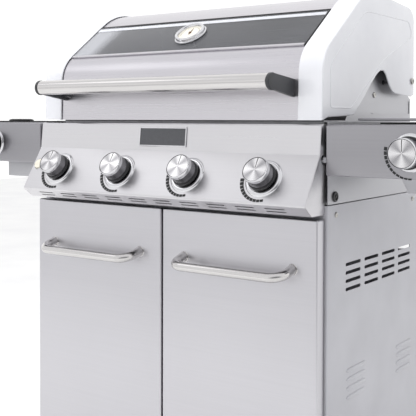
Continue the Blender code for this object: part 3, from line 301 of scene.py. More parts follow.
CREASE = 32     # edges that fold by more degrees than this stay sharp


def settled(source):
    """A plain mesh of what an object has become, and the object removed."""
    bpy.context.view_layer.update()
    mesh = bpy.data.meshes.new_from_object(source.evaluated_get(bpy.context.evaluated_depsgraph_get()))
    bpy.data.objects.remove(source)
    return mesh


def baked(source):
    """The object with its modifiers applied, as a plain mesh that is smooth between its creases."""
    name = source.name
    made = bpy.data.objects.new(name, settled(source))
    bpy.context.scene.collection.objects.link(made)
    made.name = name
    made.data.shade_smooth()
    made.data.set_sharp_from_angle(angle=math.radians(CREASE))
    return made


def carved(target, *cutters):
    """The target with each cutter taken from it, and the cutters removed."""
    for cutter in cutters:
        step = target.modifiers.new("cut", "BOOLEAN")
        step.operation, step.solver, step.object = "DIFFERENCE", "EXACT", cutter
    made = baked(target)
    for cutter in cutters:
        bpy.data.objects.remove(cutter)
    return made


def recipe(name, **sizes):
    """A geometry tree with named inputs and its group input node."""
    tree = bpy.data.node_groups.new(name, "GeometryNodeTree")
    for label, kind in sizes.items():
        tree.interface.new_socket(label, in_out="INPUT", socket_type=f"NodeSocket{kind}")
    tree.interface.new_socket("Geometry", in_out="OUTPUT", socket_type="NodeSocketGeometry")
    return tree, add(tree, "NodeGroupInput")


def grown(name, tree, **values):
    """What a geometry tree makes of these values, as a plain mesh."""
    holder = bpy.data.objects.new(name, bpy.data.meshes.new(name))
    bpy.context.scene.collection.objects.link(holder)
    modifier = holder.modifiers.new(name, "NODES")
    modifier.node_group = tree
    for socket in tree.interface.items_tree:
        if socket.in_out == "INPUT":
            modifier[socket.identifier] = values[socket.name]
    made = baked(holder)
    made.name = name
    return made


# Copies of one unit on a lattice: one row of points stepped along another.
lattice, sizes = recipe("lattice", Unit="Object", Finish="Material", Start="Vector", CountA="Int",
                        StepA="Vector", CountB="Int", StepB="Vector")
row_a = add(lattice, "GeometryNodeMeshLine", {"Count": sizes.outputs["CountA"],
            "Start Location": sizes.outputs["Start"], "Offset": sizes.outputs["StepA"]})
row_b = add(lattice, "GeometryNodeMeshLine", {"Count": sizes.outputs["CountB"],
                                              "Offset": sizes.outputs["StepB"]})
grid = add(lattice, "GeometryNodeInstanceOnPoints", {"Points": row_a.outputs["Mesh"],
                                                     "Instance": row_b.outputs["Mesh"]})
points = add(lattice, "GeometryNodeRealizeInstances", {"Geometry": grid.outputs["Instances"]})


def stamped(tree, inputs, spots, **turning):
    """Ends a tree: the unit copied to these spots, made one mesh and given its finish."""
    unit_in = add(tree, "GeometryNodeObjectInfo", {"Object": inputs.outputs["Unit"]})
    copies = add(tree, "GeometryNodeInstanceOnPoints", {"Points": spots.outputs["Geometry"],
                 "Instance": unit_in.outputs["Geometry"], **turning})
    whole = add(tree, "GeometryNodeRealizeInstances", {"Geometry": copies.outputs["Instances"]})
    coated = add(tree, "GeometryNodeSetMaterial", {"Geometry": whole.outputs["Geometry"],
                 "Material": inputs.outputs["Finish"]})
    add(tree, "NodeGroupOutput", {"Geometry": coated.outputs["Geometry"]})


stamped(lattice, sizes, points)


def copied(name, shape, finish, start, count_a, step_a, count_b=1, step_b=(0, 0, 0)):
    """Copies of a shape, made about the origin, on a lattice of places."""
    seed = piece("unit", shape)
    made = grown(name, lattice, Unit=seed, Finish=finish, Start=start, CountA=count_a, StepA=step_a,
                 CountB=count_b, StepB=step_b)
    bpy.data.objects.remove(seed)
    return made


def fit(made, body, slot, *stands_for):
    """Rides a piece on its body and hides the CAD nodes that it stands for. slot is not used."""
    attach(made, body)
    if stands_for:
        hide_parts(*stands_for)
    return made


def slot_shape(axis, length, width, depth, steps=6):
    """A long slot with round ends, about the origin, this deep along an axis."""
    radius = width / 2
    outline = []
    for end, start in ((length / 2 - radius, -90), (radius - length / 2, 90)):
        for i in range(steps + 1):
            angle = math.radians(start + 180 * i / steps)
            outline.append((end + radius * math.cos(angle), radius * math.sin(angle)))
    return prism(outline, axis, -depth / 2, depth / 2)


def louvre_shape(side):
    """A pressed louvre: a half round ridge with closed ends that stands out of the sheet."""
    length, height, proud = LOUVRE_SIZE
    outline = [(-height / 2, -0.0008), (height / 2, -0.0008)]
    outline += [(height / 2 * math.cos(a), proud * math.sin(a)) for a in (math.pi * i / 8 for i in range(9))]
    shape = bmesh.new()
    rings = []
    for place, share in ((-0.5, 0.25), (-0.44, 0.75), (-0.38, 1.0), (0.38, 1.0), (0.44, 0.75), (0.5, 0.25)):
        ring = [(side * (out * share if out > 0 else out), place * length, z * share) for z, out in outline]
        rings.append([shape.verts.new(point) for point in ring])
    for a, b in zip(rings, rings[1:]):
        for i in range(len(a)):
            j = (i + 1) % len(a)
            shape.faces.new((a[i], a[j], b[j], b[i]))
    shape.faces.new(rings[0])
    shape.faces.new(rings[-1])
    bmesh.ops.recalc_face_normals(shape, faces=shape.faces)
    return shape


for hand, side in (("left", -1), ("right", 1)):
    inner = SIDE_OUT - SIDE_FLANGE
    plan = rounded([(inner, SIDE_FRONT), (SIDE_OUT, SIDE_FRONT), (SIDE_OUT, SIDE_BACK), (inner, SIDE_BACK)],
                   [0.003, 0.003], 15.0)
    wrap = strip([(x * side, y) for x, y in plan], SHEET * side, "Z", SIDE_LOW, SIDE_HIGH)
    sheet = piece(f"{hand}_side", wrap, grey_coat)
    vents = copied("vents", slot_shape("X", *VENT_SIZE, 0.012), grey_coat,
                   (side * SIDE_OUT, VENT_FIRST[0] + VENT_SIZE[0] / 2, VENT_FIRST[1] + VENT_SIZE[1] / 2), 4,
                   (0, VENT_STEP[0], 0), 4, (0, 0, VENT_STEP[1]))
    fit(carved(sheet, vents), "cart", "painted_steel", f"{hand}_side_panel")
    for number, (y, z) in enumerate(LOUVRES, start=1):
        stack = copied(f"{hand}_louvres_{number}", louvre_shape(side), grey_coat, (side * SIDE_OUT, y, z), 1,
                       (0, 0, 0), 4, (0, 0, -LOUVRE_DROP))
        fit(stack, "cart", "painted_steel")

for name in ("base_panel", "rear_panel", "header_rail"):
    nodes[name].material_slots[0].material = grey_coat

# ---------------------------------------------------------------- doors
# Two pans of brushed stainless sheet with rounded edges, hinged at the outer sides. A bent tube is
# bolted through the front of each as a handle, with a pressed washer under each foot.
DOOR_IN, DOOR_OUT, DOOR_LOW, DOOR_HIGH = 0.0020, 0.3596, 0.1000, 0.7269
DOOR_FRONT, DOOR_BACK = -0.2124, -0.1896
GRIP_FEET, GRIP_Z, GRIP_R = (0.0580, 0.3075), 0.6325, 0.0093
GRIP_OUT, GRIP_DROP, GRIP_BEND = 0.0455, 0.0110, 0.028
WASHER_R, WASHER_H = 0.0108, 0.0012
UPRIGHT, FORWARD = (0, 0, 1), (0, -1, 0)


def brushed(name, light, dark, stroke, roughness, depth=0.05):
    """Stainless sheet ground with a belt. stroke is the grain's fineness along x, y and z, per metre:
    the real lines are 0.2 mm apart, and are drawn some millimetres apart so that they show."""
    made, tree, shader = blank(name)
    place = add(tree, "ShaderNodeTexCoord").outputs["Object"]
    drawn = add(tree, "ShaderNodeMapping", {"Vector": place, "Scale": stroke})
    lines = add(tree, "ShaderNodeTexNoise", {"Vector": drawn.outputs["Vector"], "Scale": 1.0, "Detail": 5.0,
                                             "Roughness": 0.65}).outputs["Fac"]
    cloud = add(tree, "ShaderNodeTexNoise", {"Vector": place, "Scale": 2.5, "Detail": 2.0})
    mixed = add(tree, "ShaderNodeMath", {0: lines, 1: cloud.outputs["Fac"]}, operation="ADD")
    halved = add(tree, "ShaderNodeMath", {0: mixed.outputs[0], 1: 0.5}, operation="MULTIPLY")
    tone = add(tree, "ShaderNodeValToRGB", {"Fac": halved.outputs[0]}, [(0.25, dark), (0.75, light)])
    polish = add(tree, "ShaderNodeMapRange", {"Value": lines, "From Min": 0.3, "From Max": 0.7,
                                              "To Min": roughness - 0.05, "To Max": roughness + 0.05})
    grain = add(tree, "ShaderNodeBump", {"Height": lines, "Strength": depth, "Distance": 0.0004})
    feed(tree, shader, {"Base Color": tone.outputs["Color"], "Roughness": polish.outputs["Result"],
                        "Normal": grain.outputs["Normal"], "Metallic": 1.0})
    return made


door_steel = brushed("brushed_door_steel", "#D0CFD3", "#C6C5C9", (3.0, 260.0, 260.0), 0.34)
tube_steel = brushed("satin_tube_steel", "#DCDAD9", "#C6C4C3", (5.0, 220.0, 220.0), 0.15)


def tube(name, line, radius, finish, sides=20):
    """A round bar bent along these points, with flat ends."""
    curve = bpy.data.curves.new(name, "CURVE")
    curve.dimensions, curve.bevel_depth = "3D", radius
    curve.bevel_resolution, curve.use_fill_caps = sides // 4, True
    way = curve.splines.new("POLY")
    way.points.add(len(line) - 1)
    for point, place in zip(way.points, line):
        point.co = (*place, 1.0)
    source = bpy.data.objects.new(name, curve)
    bpy.context.scene.collection.objects.link(source)
    mesh = settled(source)
    shape = bmesh.new()
    shape.from_mesh(mesh)
    bpy.data.meshes.remove(mesh)
    return piece(name, shape, finish, crease=50)


def turned(profile, centre, direction, steps=48, loop=False, marks=None):
    """A profile of (radius, height) points spun about a line. marks numbers each stretch's finish."""
    shape = bmesh.new()
    turn_to = Matrix.Translation(centre) @ Vector(direction).to_track_quat("Z", "Y").to_matrix().to_4x4()
    around = shape.loops.layers.uv.new("turn")
    rings = []
    for radius, height in profile:
        if radius < 1e-7:
            rings.append([shape.verts.new(turn_to @ Vector((0, 0, height)))] * steps)
        else:
            rings.append([shape.verts.new(turn_to @ Vector((radius * math.cos(2 * math.pi * i / steps),
                          radius * math.sin(2 * math.pi * i / steps), height))) for i in range(steps)])
    pairs = list(zip(rings, rings[1:])) + ([(rings[-1], rings[0])] if loop else [])
    length = 0.0
    for number, (a, b) in enumerate(pairs):
        reach = math.dist(profile[number], profile[(number + 1) % len(profile)])
        for i in range(steps):
            j = (i + 1) % steps
            corners = [(a[i], i, 0), (a[j], i + 1, 0), (b[j], i + 1, 1), (b[i], i, 1)]
            seen = []
            kept = [c for c in corners if not (c[0] in seen or seen.append(c[0]))]
            face = shape.faces.new([c[0] for c in kept])
            face.material_index = marks[number] if marks else 0
            for loop_corner, (_, u, v) in zip(face.loops, kept):
                loop_corner[around].uv = (u / steps, length + reach * v)
        length += reach
    return shape


def rod(radius, reach, centre, direction, steps=24):
    """A plain round bar that reaches this far to both sides of its centre."""
    return turned([(0, -reach), (radius, -reach), (radius, reach), (0, reach)], centre, direction, steps)


for hand, side in (("left", -1), ("right", 1)):
    xs = sorted((DOOR_IN * side, DOOR_OUT * side))
    pan = block((xs[0], DOOR_FRONT, DOOR_LOW), (xs[1], DOOR_BACK + 0.010, DOOR_HIGH), 0.0036, 4)
    door = piece(f"{hand}_door_pan", pan, door_steel)
    hollow = piece("hollow", block((xs[0] + SHEET, DOOR_FRONT + SHEET, DOOR_LOW + SHEET),
                                   (xs[1] - SHEET, DOOR_BACK + 0.03, DOOR_HIGH - SHEET)))
    trim = piece("trim", block((xs[0] - 0.01, DOOR_BACK, DOOR_LOW - 0.01),
                               (xs[1] + 0.01, DOOR_BACK + 0.03, DOOR_HIGH + 0.01)))
    fit(carved(door, hollow, trim), f"{hand}_door", "brushed_steel", f"{hand}_door")
    line = []
    for x, inwards in ((GRIP_FEET[0], 1), (GRIP_FEET[1], -1)):
        y = DOOR_FRONT - 0.0003
        half = [(x, y, GRIP_Z), (x, y - 0.0040, GRIP_Z)]
        for i in range(13):
            angle = math.radians(90 * i / 12)
            out = GRIP_OUT - GRIP_BEND + GRIP_BEND * math.sin(angle)
            half.append((x + inwards * GRIP_BEND * (1 - math.cos(angle)), y - out,
                         GRIP_Z - GRIP_DROP * out / GRIP_OUT))
        line += half if inwards == 1 else half[::-1]
    fit(tube(f"{hand}_door_grip", [(x * side, y, z) for x, y, z in line], GRIP_R, tube_steel, 32),
        f"{hand}_door", "brushed_steel", f"{hand}_door_handle")
    ring = [(GRIP_R + 0.0002, 0), (GRIP_R + 0.0002, WASHER_H), (WASHER_R - 0.0008, WASHER_H),
            (WASHER_R, WASHER_H - 0.0008), (WASHER_R, 0)]
    washers = merged(*(turned(ring, (x * side, DOOR_FRONT, GRIP_Z), FORWARD, 40, True) for x in GRIP_FEET))
    fit(piece(f"{hand}_grip_washers", washers, tube_steel), f"{hand}_door", "brushed_steel")

# ---------------------------------------------------------------- firebox
# The trough that holds the fire, its outer skins and the two raised ears that carry the lid, all of
# satin sheet. Each ear is stiffened by a pressed rib, and each skin has a black plug at its front.
plain_steel = brushed("satin_sheet_steel", "#BEBEC1", "#B1B1B5", (160.0, 5.0, 160.0), 0.42, 0.06)
SKIN_X, EAR_X, LEDGE_Z = 0.3659, 0.3380, 0.9045
PLUG_AT, PLUG_R = (-0.1590, 0.7660), 0.0098
EAR_BOLT_AT, EAR_PLUG_AT = (0.0697, 0.9595), (0.1143, 0.9876)
SCREWS = ((-0.1540, 0.7320), (0.2110, 0.7350))
LID_AXIS = (0.2204, 0.9932)

nodes["firebox"].material_slots[0].material = plain_steel
zinc = brushed("zinc_plate", "#C9C7C2", "#A9A7A3", (180.0, 180.0, 180.0), 0.28, 0.10)


def moulded(name, light, dark, roughness, grit):
    """Injection moulded nylon or ABS with a spark-eroded texture, this many grains to the metre."""
    made, tree, shader, _, grains = clouded(name, grit, 2.0, [(0.3, dark), (0.7, light)], roughness=roughness)
    dents = add(tree, "ShaderNodeBump", {"Height": grains, "Strength": 0.15, "Distance": 0.0002})
    feed(tree, shader, {"Normal": dents.outputs["Normal"]})
    return made


black_nylon = moulded("black_glass_filled_nylon", "#2A2A2D", "#1D1D1F", 0.42, 900.0)


def screw_head(centre, direction, radius=0.0052, height=0.0026):
    """A pan head with a cross recess, on its washer face."""
    rim = [(radius, 0.0), (radius * 0.98, height * 0.45), (radius * 0.82, height * 0.85),
           (radius * 0.45, height)]
    cup = [(radius * 0.30, height), (radius * 0.16, height * 0.45), (0.0, height * 0.40)]
    return turned([(0.0, 0.0), *rim, *cup], centre, direction, 24)


for hand, side in (("left", -1), ("right", 1)):
    out = (side, 0, 0)
    screws = merged(*(screw_head((side * SIDE_OUT, y, z), out) for y, z in SCREWS))
    fit(piece(f"{hand}_side_screws", screws, zinc), "cart", "chrome")
    plug = turned([(0.0, 0.0), (PLUG_R, 0.0), (PLUG_R, 0.0022), (PLUG_R - 0.0012, 0.0034), (0.0062, 0.0034),
                   (0.0052, 0.0014), (0.0030, 0.0014), (0.0022, 0.0030), (0.0, 0.0032)],
                  (side * SKIN_X, *PLUG_AT), out)
    fit(piece(f"{hand}_skin_plug", plug, black_nylon), "cart", "black_nylon")
    ear_bolt = screw_head((side * (EAR_X - 0.0002), *EAR_BOLT_AT), out, 0.0060, 0.0030)
    fit(piece(f"{hand}_ear_bolt", ear_bolt, zinc), "cart", "chrome")
    plug = turned([(0.0, -0.0002), (0.0052, -0.0002), (0.0052, 0.0008), (0.0040, 0.0012), (0.0, 0.0008)],
                  (side * EAR_X, *EAR_PLUG_AT), out, 24)
    fit(piece(f"{hand}_ear_plug", plug, black_nylon), "cart", "black_nylon")
    ear_rib = strip(rounded([(0.0600, LEDGE_Z + 0.0160), (0.2560, LEDGE_Z + 0.0160), (0.2560, 0.9500)],
                            [0.004]), 0.0012, "X", *sorted((side * EAR_X, side * (EAR_X + 0.0012))))
    fit(piece(f"{hand}_ear_rib", ear_rib, plain_steel), "cart", "plain_steel")
    bolt = turned([(0.0, -0.0288), (0.0040, -0.0288), (0.0040, 0.0006), (0.0072, 0.0006), (0.0072, 0.0022),
                   (0.0062, 0.0038), (0.0034, 0.0038), (0.0026, 0.0020), (0.0, 0.0020)],
                  (side * 0.3585, *LID_AXIS), out, 32)
    fit(piece(f"{hand}_lid_bolt", bolt, zinc), "cart", "chrome", f"{hand}_hinge_bolt")

# ---------------------------------------------------------------- burners, flame tamers and grates
# Four stainless tube burners with a row of ports on each side, an angle of sheet over each, and two
# cast grates above them. A rack of welded wires hangs from the ears.
ROW_MIDDLE, ROW_STEP = -0.0080, 0.1770
KNOB_X = [ROW_MIDDLE + ROW_STEP * (i - 1.5) for i in range(4)]
BURNER_Z, BURNER_R, BURNER_Y = 0.7950, 0.0125, (-0.1750, 0.2200)
GRATE_LOW, GRATE_HIGH, GRATE_FRONT, GRATE_BACK = 0.8800, 0.8920, -0.1475, 0.2595
RACK_Z, RACK_Y, RACK_X, WIRE_R = 1.0450, (0.0650, 0.1850), 0.2950, 0.0028
RACK_HOOK = (0.1236, 0.9867)


def heat_tinted():
    """Stainless steel that has been hot: straw and blue tints in soft clouds over a dull grey."""
    tints = [(0.30, "#8E8F97"), (0.50, "#A8A5A0"), (0.72, "#B49F83")]
    made, tree, shader, _, cloud = clouded("heat_tinted_steel", 16.0, 4.0, tints, metallic=1.0)
    dull = add(tree, "ShaderNodeMapRange", {"Value": cloud, "To Min": 0.30, "To Max": 0.50})
    feed(tree, shader, {"Roughness": dull.outputs["Result"]})
    return made


def cast_iron():
    """Cast iron under matt enamel: black, with the sand's grain showing through."""
    blacks = [(0.35, "#19191A"), (0.70, "#2C2B2A")]
    made, tree, shader, _, sand = clouded("enamelled_cast_iron", 600.0, 3.0, blacks, roughness=0.55)
    dents = add(tree, "ShaderNodeBump", {"Height": sand, "Strength": 0.35, "Distance": 0.0005})
    feed(tree, shader, {"Normal": dents.outputs["Normal"]})
    return made


hot_steel, iron = heat_tinted(), cast_iron()
# painted shadow: black discs stand for the shade inside the burner ports
shadow_black = moulded("soot_black", "#141414", "#0C0C0C", 0.7, 400.0)

for number, x in enumerate(KNOB_X, start=1):
    y0, y1 = BURNER_Y
    pipe = turned([(0.0, y1), (BURNER_R - 0.0006, y1), (BURNER_R, y1 - 0.0006), (BURNER_R, y0 + 0.030),
                   (BURNER_R, y0 + 0.001), (BURNER_R - 0.0015, y0 + 0.001), (BURNER_R - 0.0015, y0 + 0.050),
                   (0.0, y0 + 0.050)], (x, 0, BURNER_Z), (0, 1, 0), 32)
    tab = block((x - 0.009, y1 - 0.004, BURNER_Z - 0.001),
                (x + 0.009, y1 + 0.038, BURNER_Z + 0.001), 0.0003, 1)
    fit(piece(f"burner_tube_{number}", merged(pipe, tab), hot_steel), "cart", "plain_steel",
        f"burner_{number}")
    port = turned([(0.0, -0.0003), (0.0011, -0.0003), (0.0011, 0.0002), (0.0, 0.0002)],
                  (0, 0, 0), (1, 0, 0), 8)
    fit(copied(f"burner_ports_{number}", port, shadow_black, (x - BURNER_R, -0.110, BURNER_Z), 32,
               (0, 0.0095, 0), 2, (2 * BURNER_R, 0, 0)), "cart", "plain_steel")
    nodes[f"flame_tamer_{number}"].material_slots[0].material = hot_steel

for hand, x0, x1 in (("left", -0.3355, -0.0010), ("right", 0.0010, 0.3355)):
    side_low, side_high = GRATE_FRONT + 0.005, (GRATE_BACK - 0.005, GRATE_HIGH - 0.0004)
    frame_bars = merged(*(block(low, high, 0.002, 2) for low, high in (
        ((x0, GRATE_FRONT, GRATE_LOW), (x1, GRATE_FRONT + 0.010, GRATE_HIGH)),
        ((x0, GRATE_BACK - 0.010, GRATE_LOW), (x1, GRATE_BACK, GRATE_HIGH)),
        ((x0, side_low, GRATE_LOW), (x0 + 0.010, *side_high)),
        ((x1 - 0.010, side_low, GRATE_LOW), (x1, *side_high)),
        ((x0 + 0.005, 0.052, GRATE_LOW), (x1 - 0.005, 0.060, GRATE_HIGH - 0.003)))))
    fit(piece(f"{hand}_grate_frame", frame_bars, iron), "cart", "cast_iron", f"cooking_grate_{hand}")
    bar_step = (x1 - x0 - 0.012) / 11
    bar = block((-0.004, GRATE_FRONT + 0.006, GRATE_LOW + 0.0005),
                (0.004, GRATE_BACK - 0.006, GRATE_HIGH), 0.0025, 2)
    fit(copied(f"{hand}_grate_bars", bar, iron, (x0 + 0.006 + bar_step, 0, 0), 10, (bar_step, 0, 0)),
        "cart", "cast_iron")

end_wire = [(RACK_X, RACK_Y[0], RACK_Z), (RACK_X, RACK_Y[1], RACK_Z)]
leg_wire = [(RACK_X, RACK_HOOK[0], RACK_Z), (RACK_X + 0.012, RACK_HOOK[0], RACK_Z - 0.002),
            (RACK_X + 0.020, RACK_HOOK[0], RACK_HOOK[1] + 0.010), (RACK_X + 0.026, *RACK_HOOK),
            (RACK_X + 0.050, *RACK_HOOK)]
wires = [tube("rack_wire", [(side * x, y, z) for x, y, z in wire], WIRE_R, hot_steel, 12)
         for wire in (end_wire, leg_wire) for side in (-1, 1)]


def joined(name, pieces):
    """Several objects' meshes as one object, and the sources removed."""
    shape = bmesh.new()
    for source in pieces:
        shape.from_mesh(source.data)
    finish = pieces[0].data.materials[0]
    for source in pieces:
        bpy.data.objects.remove(source)
    return piece(name, shape, finish)


fit(joined("warming_rack_frame", wires), "cart", "plain_steel", "warming_rack")
long_wire = rod(WIRE_R, RACK_X, (0, 0, 0), (1, 0, 0), 12)
fit(copied("warming_rack_wires", long_wire, hot_steel, (0, RACK_Y[0], RACK_Z), 6,
           (0, (RACK_Y[1] - RACK_Y[0]) / 5, 0)), "cart", "plain_steel")
for name in ("grease_tray", "grease_cup"):
    nodes[name].material_slots[0].material = plain_steel

# ---------------------------------------------------------------- control panel
# One folded sheet of brushed stainless with welded end plates: a flat top edge, an upright band with a
# blank badge plate, the slope that the knobs stand on and a lip with two rows of vents under it.
PANEL_X = 0.3600
PANEL_LINE = ((-0.1600, 0.9000), (-0.2000, 0.9000), (-0.2054, 0.8437), (-0.2596, 0.7538), (-0.2350, 0.7345))
PANEL_RADII = (0.0040, 0.0030, 0.0042)
LIP_VENT = (-0.3190, 0.0654, 0.0425, 0.0030)        # first vent's end, step, length and width
LIP_ROWS = (0.0128, 0.0092)                         # first row's distance from the nose, and the step
BADGE_X, BADGE_SIZE, BADGE_DOWN = -0.0045, (0.1230, 0.0400), 0.0281
SLOPE_UP, SLOPE_OUT = (0, 0.51631, 0.85639), (0, -0.85639, 0.51631)
KNOB_AT = (-0.23251, 0.79874)
BUTTON_AT, BUTTON_R = (-0.3415, -0.22812, 0.80602), 0.0120
BEZEL_R, SIDE_BEZEL_R = 0.0385, 0.0340
SIDE_KNOBS = ((-0.5280, -0.2000, 0.8520), (0.5280, -0.2000, 0.8520))
STEM_WAY_R, PIPE_WAY_R, PIPE_AT = 0.0070, 0.009, (-0.1935, 0.8350)

# painted light: the panel's stainless is given a lighter tone than the doors' steel, for the light on its
# band and slope
panel_steel_painted_light = brushed("brushed_panel_steel", "#DAD9DB", "#CFCED1", (3.0, 240.0, 240.0), 0.32)
rim_chrome = brushed("polished_chrome", "#E4E4E6", "#CFCFD2", (90.0, 90.0, 90.0), 0.13, 0.02)
badge_grey = moulded("dark_badge_lacquer", "#55565A", "#48494D", 0.35, 500.0)
scale_black = moulded("black_scale_print", "#1C1C1E", "#131314", 0.5, 700.0)
ivory = moulded("ivory_button_plastic", "#EDE8DA", "#DED8C8", 0.30, 300.0)
aluminium = brushed("die_cast_aluminium", "#B9BABD", "#9C9DA1", (120.0, 120.0, 120.0), 0.45, 0.2)


def laid(shape, origin, up, out):
    """A shape or mesh made flat, turned so that its Y points up this way and its Z out, and moved there."""
    shape.transform(Matrix.Translation(origin) @ Matrix(((1, 0, 0, 0), (0, up[1], out[1], 0),
                                                         (0, up[2], out[2], 0), (0, 0, 0, 1))))
    return shape


front_line = rounded(PANEL_LINE, PANEL_RADII)
shell = piece("control_panel_sheet", strip(front_line, SHEET, "X", SHEET - PANEL_X, PANEL_X - SHEET),
              panel_steel_painted_light)
down = unit(PANEL_LINE[3], PANEL_LINE[4])
vent = laid(slot_shape("Z", *LIP_VENT[2:], 0.010), (0, 0, 0), (0, *down), (0, -down[1], down[0]))
lip_vents = copied("lip_vents", vent, panel_steel_painted_light, (LIP_VENT[0] + LIP_VENT[2] / 2,
                   PANEL_LINE[3][0] + down[0] * LIP_ROWS[0], PANEL_LINE[3][1] + down[1] * LIP_ROWS[0]), 10,
                   (LIP_VENT[1], 0, 0), 2, (0, down[0] * LIP_ROWS[1], down[1] * LIP_ROWS[1]))
stems = piece("stems", merged(*(rod(STEM_WAY_R, 0.01, (x, *KNOB_AT), SLOPE_OUT, 20) for x in KNOB_X),
                              rod(BUTTON_R + 0.0004, 0.01, BUTTON_AT, SLOPE_OUT, 32)))
fit(carved(shell, lip_vents, stems), "cart", "brushed_steel", "control_panel")
foot_z = PANEL_LINE[4][1]
end_line = front_line + [(-0.1876, foot_z), (-0.1876, 0.7527), (PANEL_LINE[0][0], 0.7527)]
ends = merged(*(prism(end_line, "X", *sorted((side * (PANEL_X - SHEET), side * PANEL_X)), 0.0005, 2)
                for side in (-1, 1)))
end_plates = piece("control_panel_ends", ends, panel_steel_painted_light)
pipe_ways = piece("pipe_ways", rod(PIPE_WAY_R, 0.5, (0, *PIPE_AT), (1, 0, 0)))
fit(carved(end_plates, pipe_ways), "cart", "brushed_steel")

band = unit(PANEL_LINE[1], PANEL_LINE[2])
band_up, band_out = (0, -band[0], -band[1]), (0, band[1], -band[0])
badge_at = (BADGE_X, PANEL_LINE[1][0] + band[0] * BADGE_DOWN, PANEL_LINE[1][1] + band[1] * BADGE_DOWN)
wide, high = BADGE_SIZE[0] / 2, BADGE_SIZE[1] / 2


def badge_block(inset, low, top, radius=0.0, segments=3):
    """A block of the badge plate, this far inside its edge and between two heights over the band."""
    shape = block((-wide + inset, -high + inset, low), (wide - inset, high - inset, top), radius, segments)
    return laid(shape, badge_at, band_up, band_out)


plate = piece("badge_rim", badge_block(0.0, 0.0001, 0.0024, 0.0009), rim_chrome)
fit(carved(plate, piece("field_cut", badge_block(0.0024, 0.0012, 0.006))), "cart", "chrome")
fit(piece("badge_field", badge_block(0.0026, 0.0004, 0.0016, 0.0002, 1), badge_grey), "cart", "black_nylon")


def bezel_shape(centre, direction, radius):
    """A pressed dish of chromed brass that a knob stands in."""
    return turned([(0.0295, -0.0004), (0.0295, 0.0030), (0.0302, 0.0038), (radius - 0.0060, 0.0040),
                   (radius - 0.0038, 0.0036), (radius - 0.0020, 0.0026), (radius - 0.0006, 0.0012),
                   (radius, 0.0004), (radius, -0.0004)], centre, direction, 64, True)


# Marks in an arc round a knob or on a dial, each smaller than the one before it.
dial, arc = recipe("dial", Unit="Object", Finish="Material", Count="Int", Radius="Float", First="Float",
                   Step="Float", Last="Float")
way = add(dial, "GeometryNodeMeshLine", {"Count": arc.outputs["Count"]})
index = add(dial, "GeometryNodeInputIndex")
turns = add(dial, "ShaderNodeMath", {0: index.outputs[0], 1: arc.outputs["Step"]}, operation="MULTIPLY")
angle = add(dial, "ShaderNodeMath", {0: turns.outputs[0], 1: arc.outputs["First"]}, operation="ADD")
cosine = add(dial, "ShaderNodeMath", {0: angle.outputs[0]}, operation="COSINE")
sine = add(dial, "ShaderNodeMath", {0: angle.outputs[0]}, operation="SINE")
flat = add(dial, "ShaderNodeCombineXYZ", {"X": cosine.outputs[0], "Y": sine.outputs[0]})
spot = add(dial, "ShaderNodeVectorMath", {0: flat.outputs[0], "Scale": arc.outputs["Radius"]},
           operation="SCALE")
set_out = add(dial, "GeometryNodeSetPosition", {"Geometry": way.outputs["Mesh"], "Position": spot.outputs[0]})
spin = add(dial, "ShaderNodeCombineXYZ", {"Z": angle.outputs[0]})
last_index = add(dial, "ShaderNodeMath", {0: arc.outputs["Count"], 1: 1.0}, operation="SUBTRACT")
share = add(dial, "ShaderNodeMapRange", {"Value": index.outputs[0], "From Min": 0.0, "To Min": 1.0,
            "From Max": last_index.outputs[0], "To Max": arc.outputs["Last"]})
size = add(dial, "ShaderNodeCombineXYZ", {"X": share.outputs["Result"], "Y": 1.0, "Z": 1.0})
stamped(dial, arc, set_out, Rotation=spin.outputs[0], Scale=size.outputs[0])


def marked(name, mark, finish, count, radius, first, step, last, origin, up, out):
    """Marks round an arc, in degrees from the right, laid on a slope."""
    seed = piece("mark", mark)
    made = grown(name, dial, Unit=seed, Finish=finish, Count=count, Radius=radius, First=math.radians(first),
                 Step=math.radians(step), Last=last)
    bpy.data.objects.remove(seed)
    laid(made.data, origin, up, out)
    return made


bezels = merged(*(bezel_shape((x, *KNOB_AT), SLOPE_OUT, BEZEL_R) for x in KNOB_X))
fit(piece("knob_bezels", bezels, rim_chrome), "cart", "chrome")
side_bezels = merged(*(bezel_shape(place, FORWARD, SIDE_BEZEL_R) for place in SIDE_KNOBS))
fit(piece("side_knob_bezels", side_bezels, rim_chrome), "cart", "chrome")
for number, x in enumerate(KNOB_X, start=1):
    mark = block((-0.0042, -0.0033, 0.00005), (0.0042, 0.0033, 0.0003))
    fit(marked(f"flame_scale_{number}", mark, scale_black, 11, 0.0458, 186.0, 9.6, 0.60,
               (x, *KNOB_AT), SLOPE_UP, SLOPE_OUT), "cart", "black_nylon")
for hand, place in zip(("left", "right"), SIDE_KNOBS):
    mark = block((-0.0030, -0.0032, 0.00005), (0.0030, 0.0032, 0.0003))
    fit(marked(f"{hand}_flame_scale", mark, scale_black, 11, 0.0448, 172.0, 9.8, 0.45,
               place, UPRIGHT, FORWARD), "cart", "black_nylon")

button = turned([(0.0, -0.0060), (BUTTON_R - 0.0006, -0.0060), (BUTTON_R - 0.0006, 0.0030),
                 (BUTTON_R - 0.0014, 0.0044), (BUTTON_R - 0.0040, 0.0050), (0.0, 0.0050)],
                BUTTON_AT, SLOPE_OUT)
fit(piece("light_button_cap", button, ivory), "button", "cream_button", "light_button")
collar = turned([(BUTTON_R + 0.0004, -0.0004), (BUTTON_R + 0.0004, 0.0016), (BUTTON_R + 0.0010, 0.0020),
                 (BUTTON_R + 0.0026, 0.0014), (BUTTON_R + 0.0030, -0.0004)], BUTTON_AT, SLOPE_OUT, loop=True)
fit(piece("light_button_collar", collar, rim_chrome), "cart", "chrome")
nodes["gas_manifold"].material_slots[0].material = aluminium

# ---------------------------------------------------------------- knobs
# Six turned knobs push onto the valves' stems: a black nylon foot, a dark satin side, a chromed rim and
# a face of spun metal with one engraved line. Each is held by the spring clip in its bore.
KNOB_R, FOOT_R, FACE_R = 0.0262, 0.0285, 0.0241


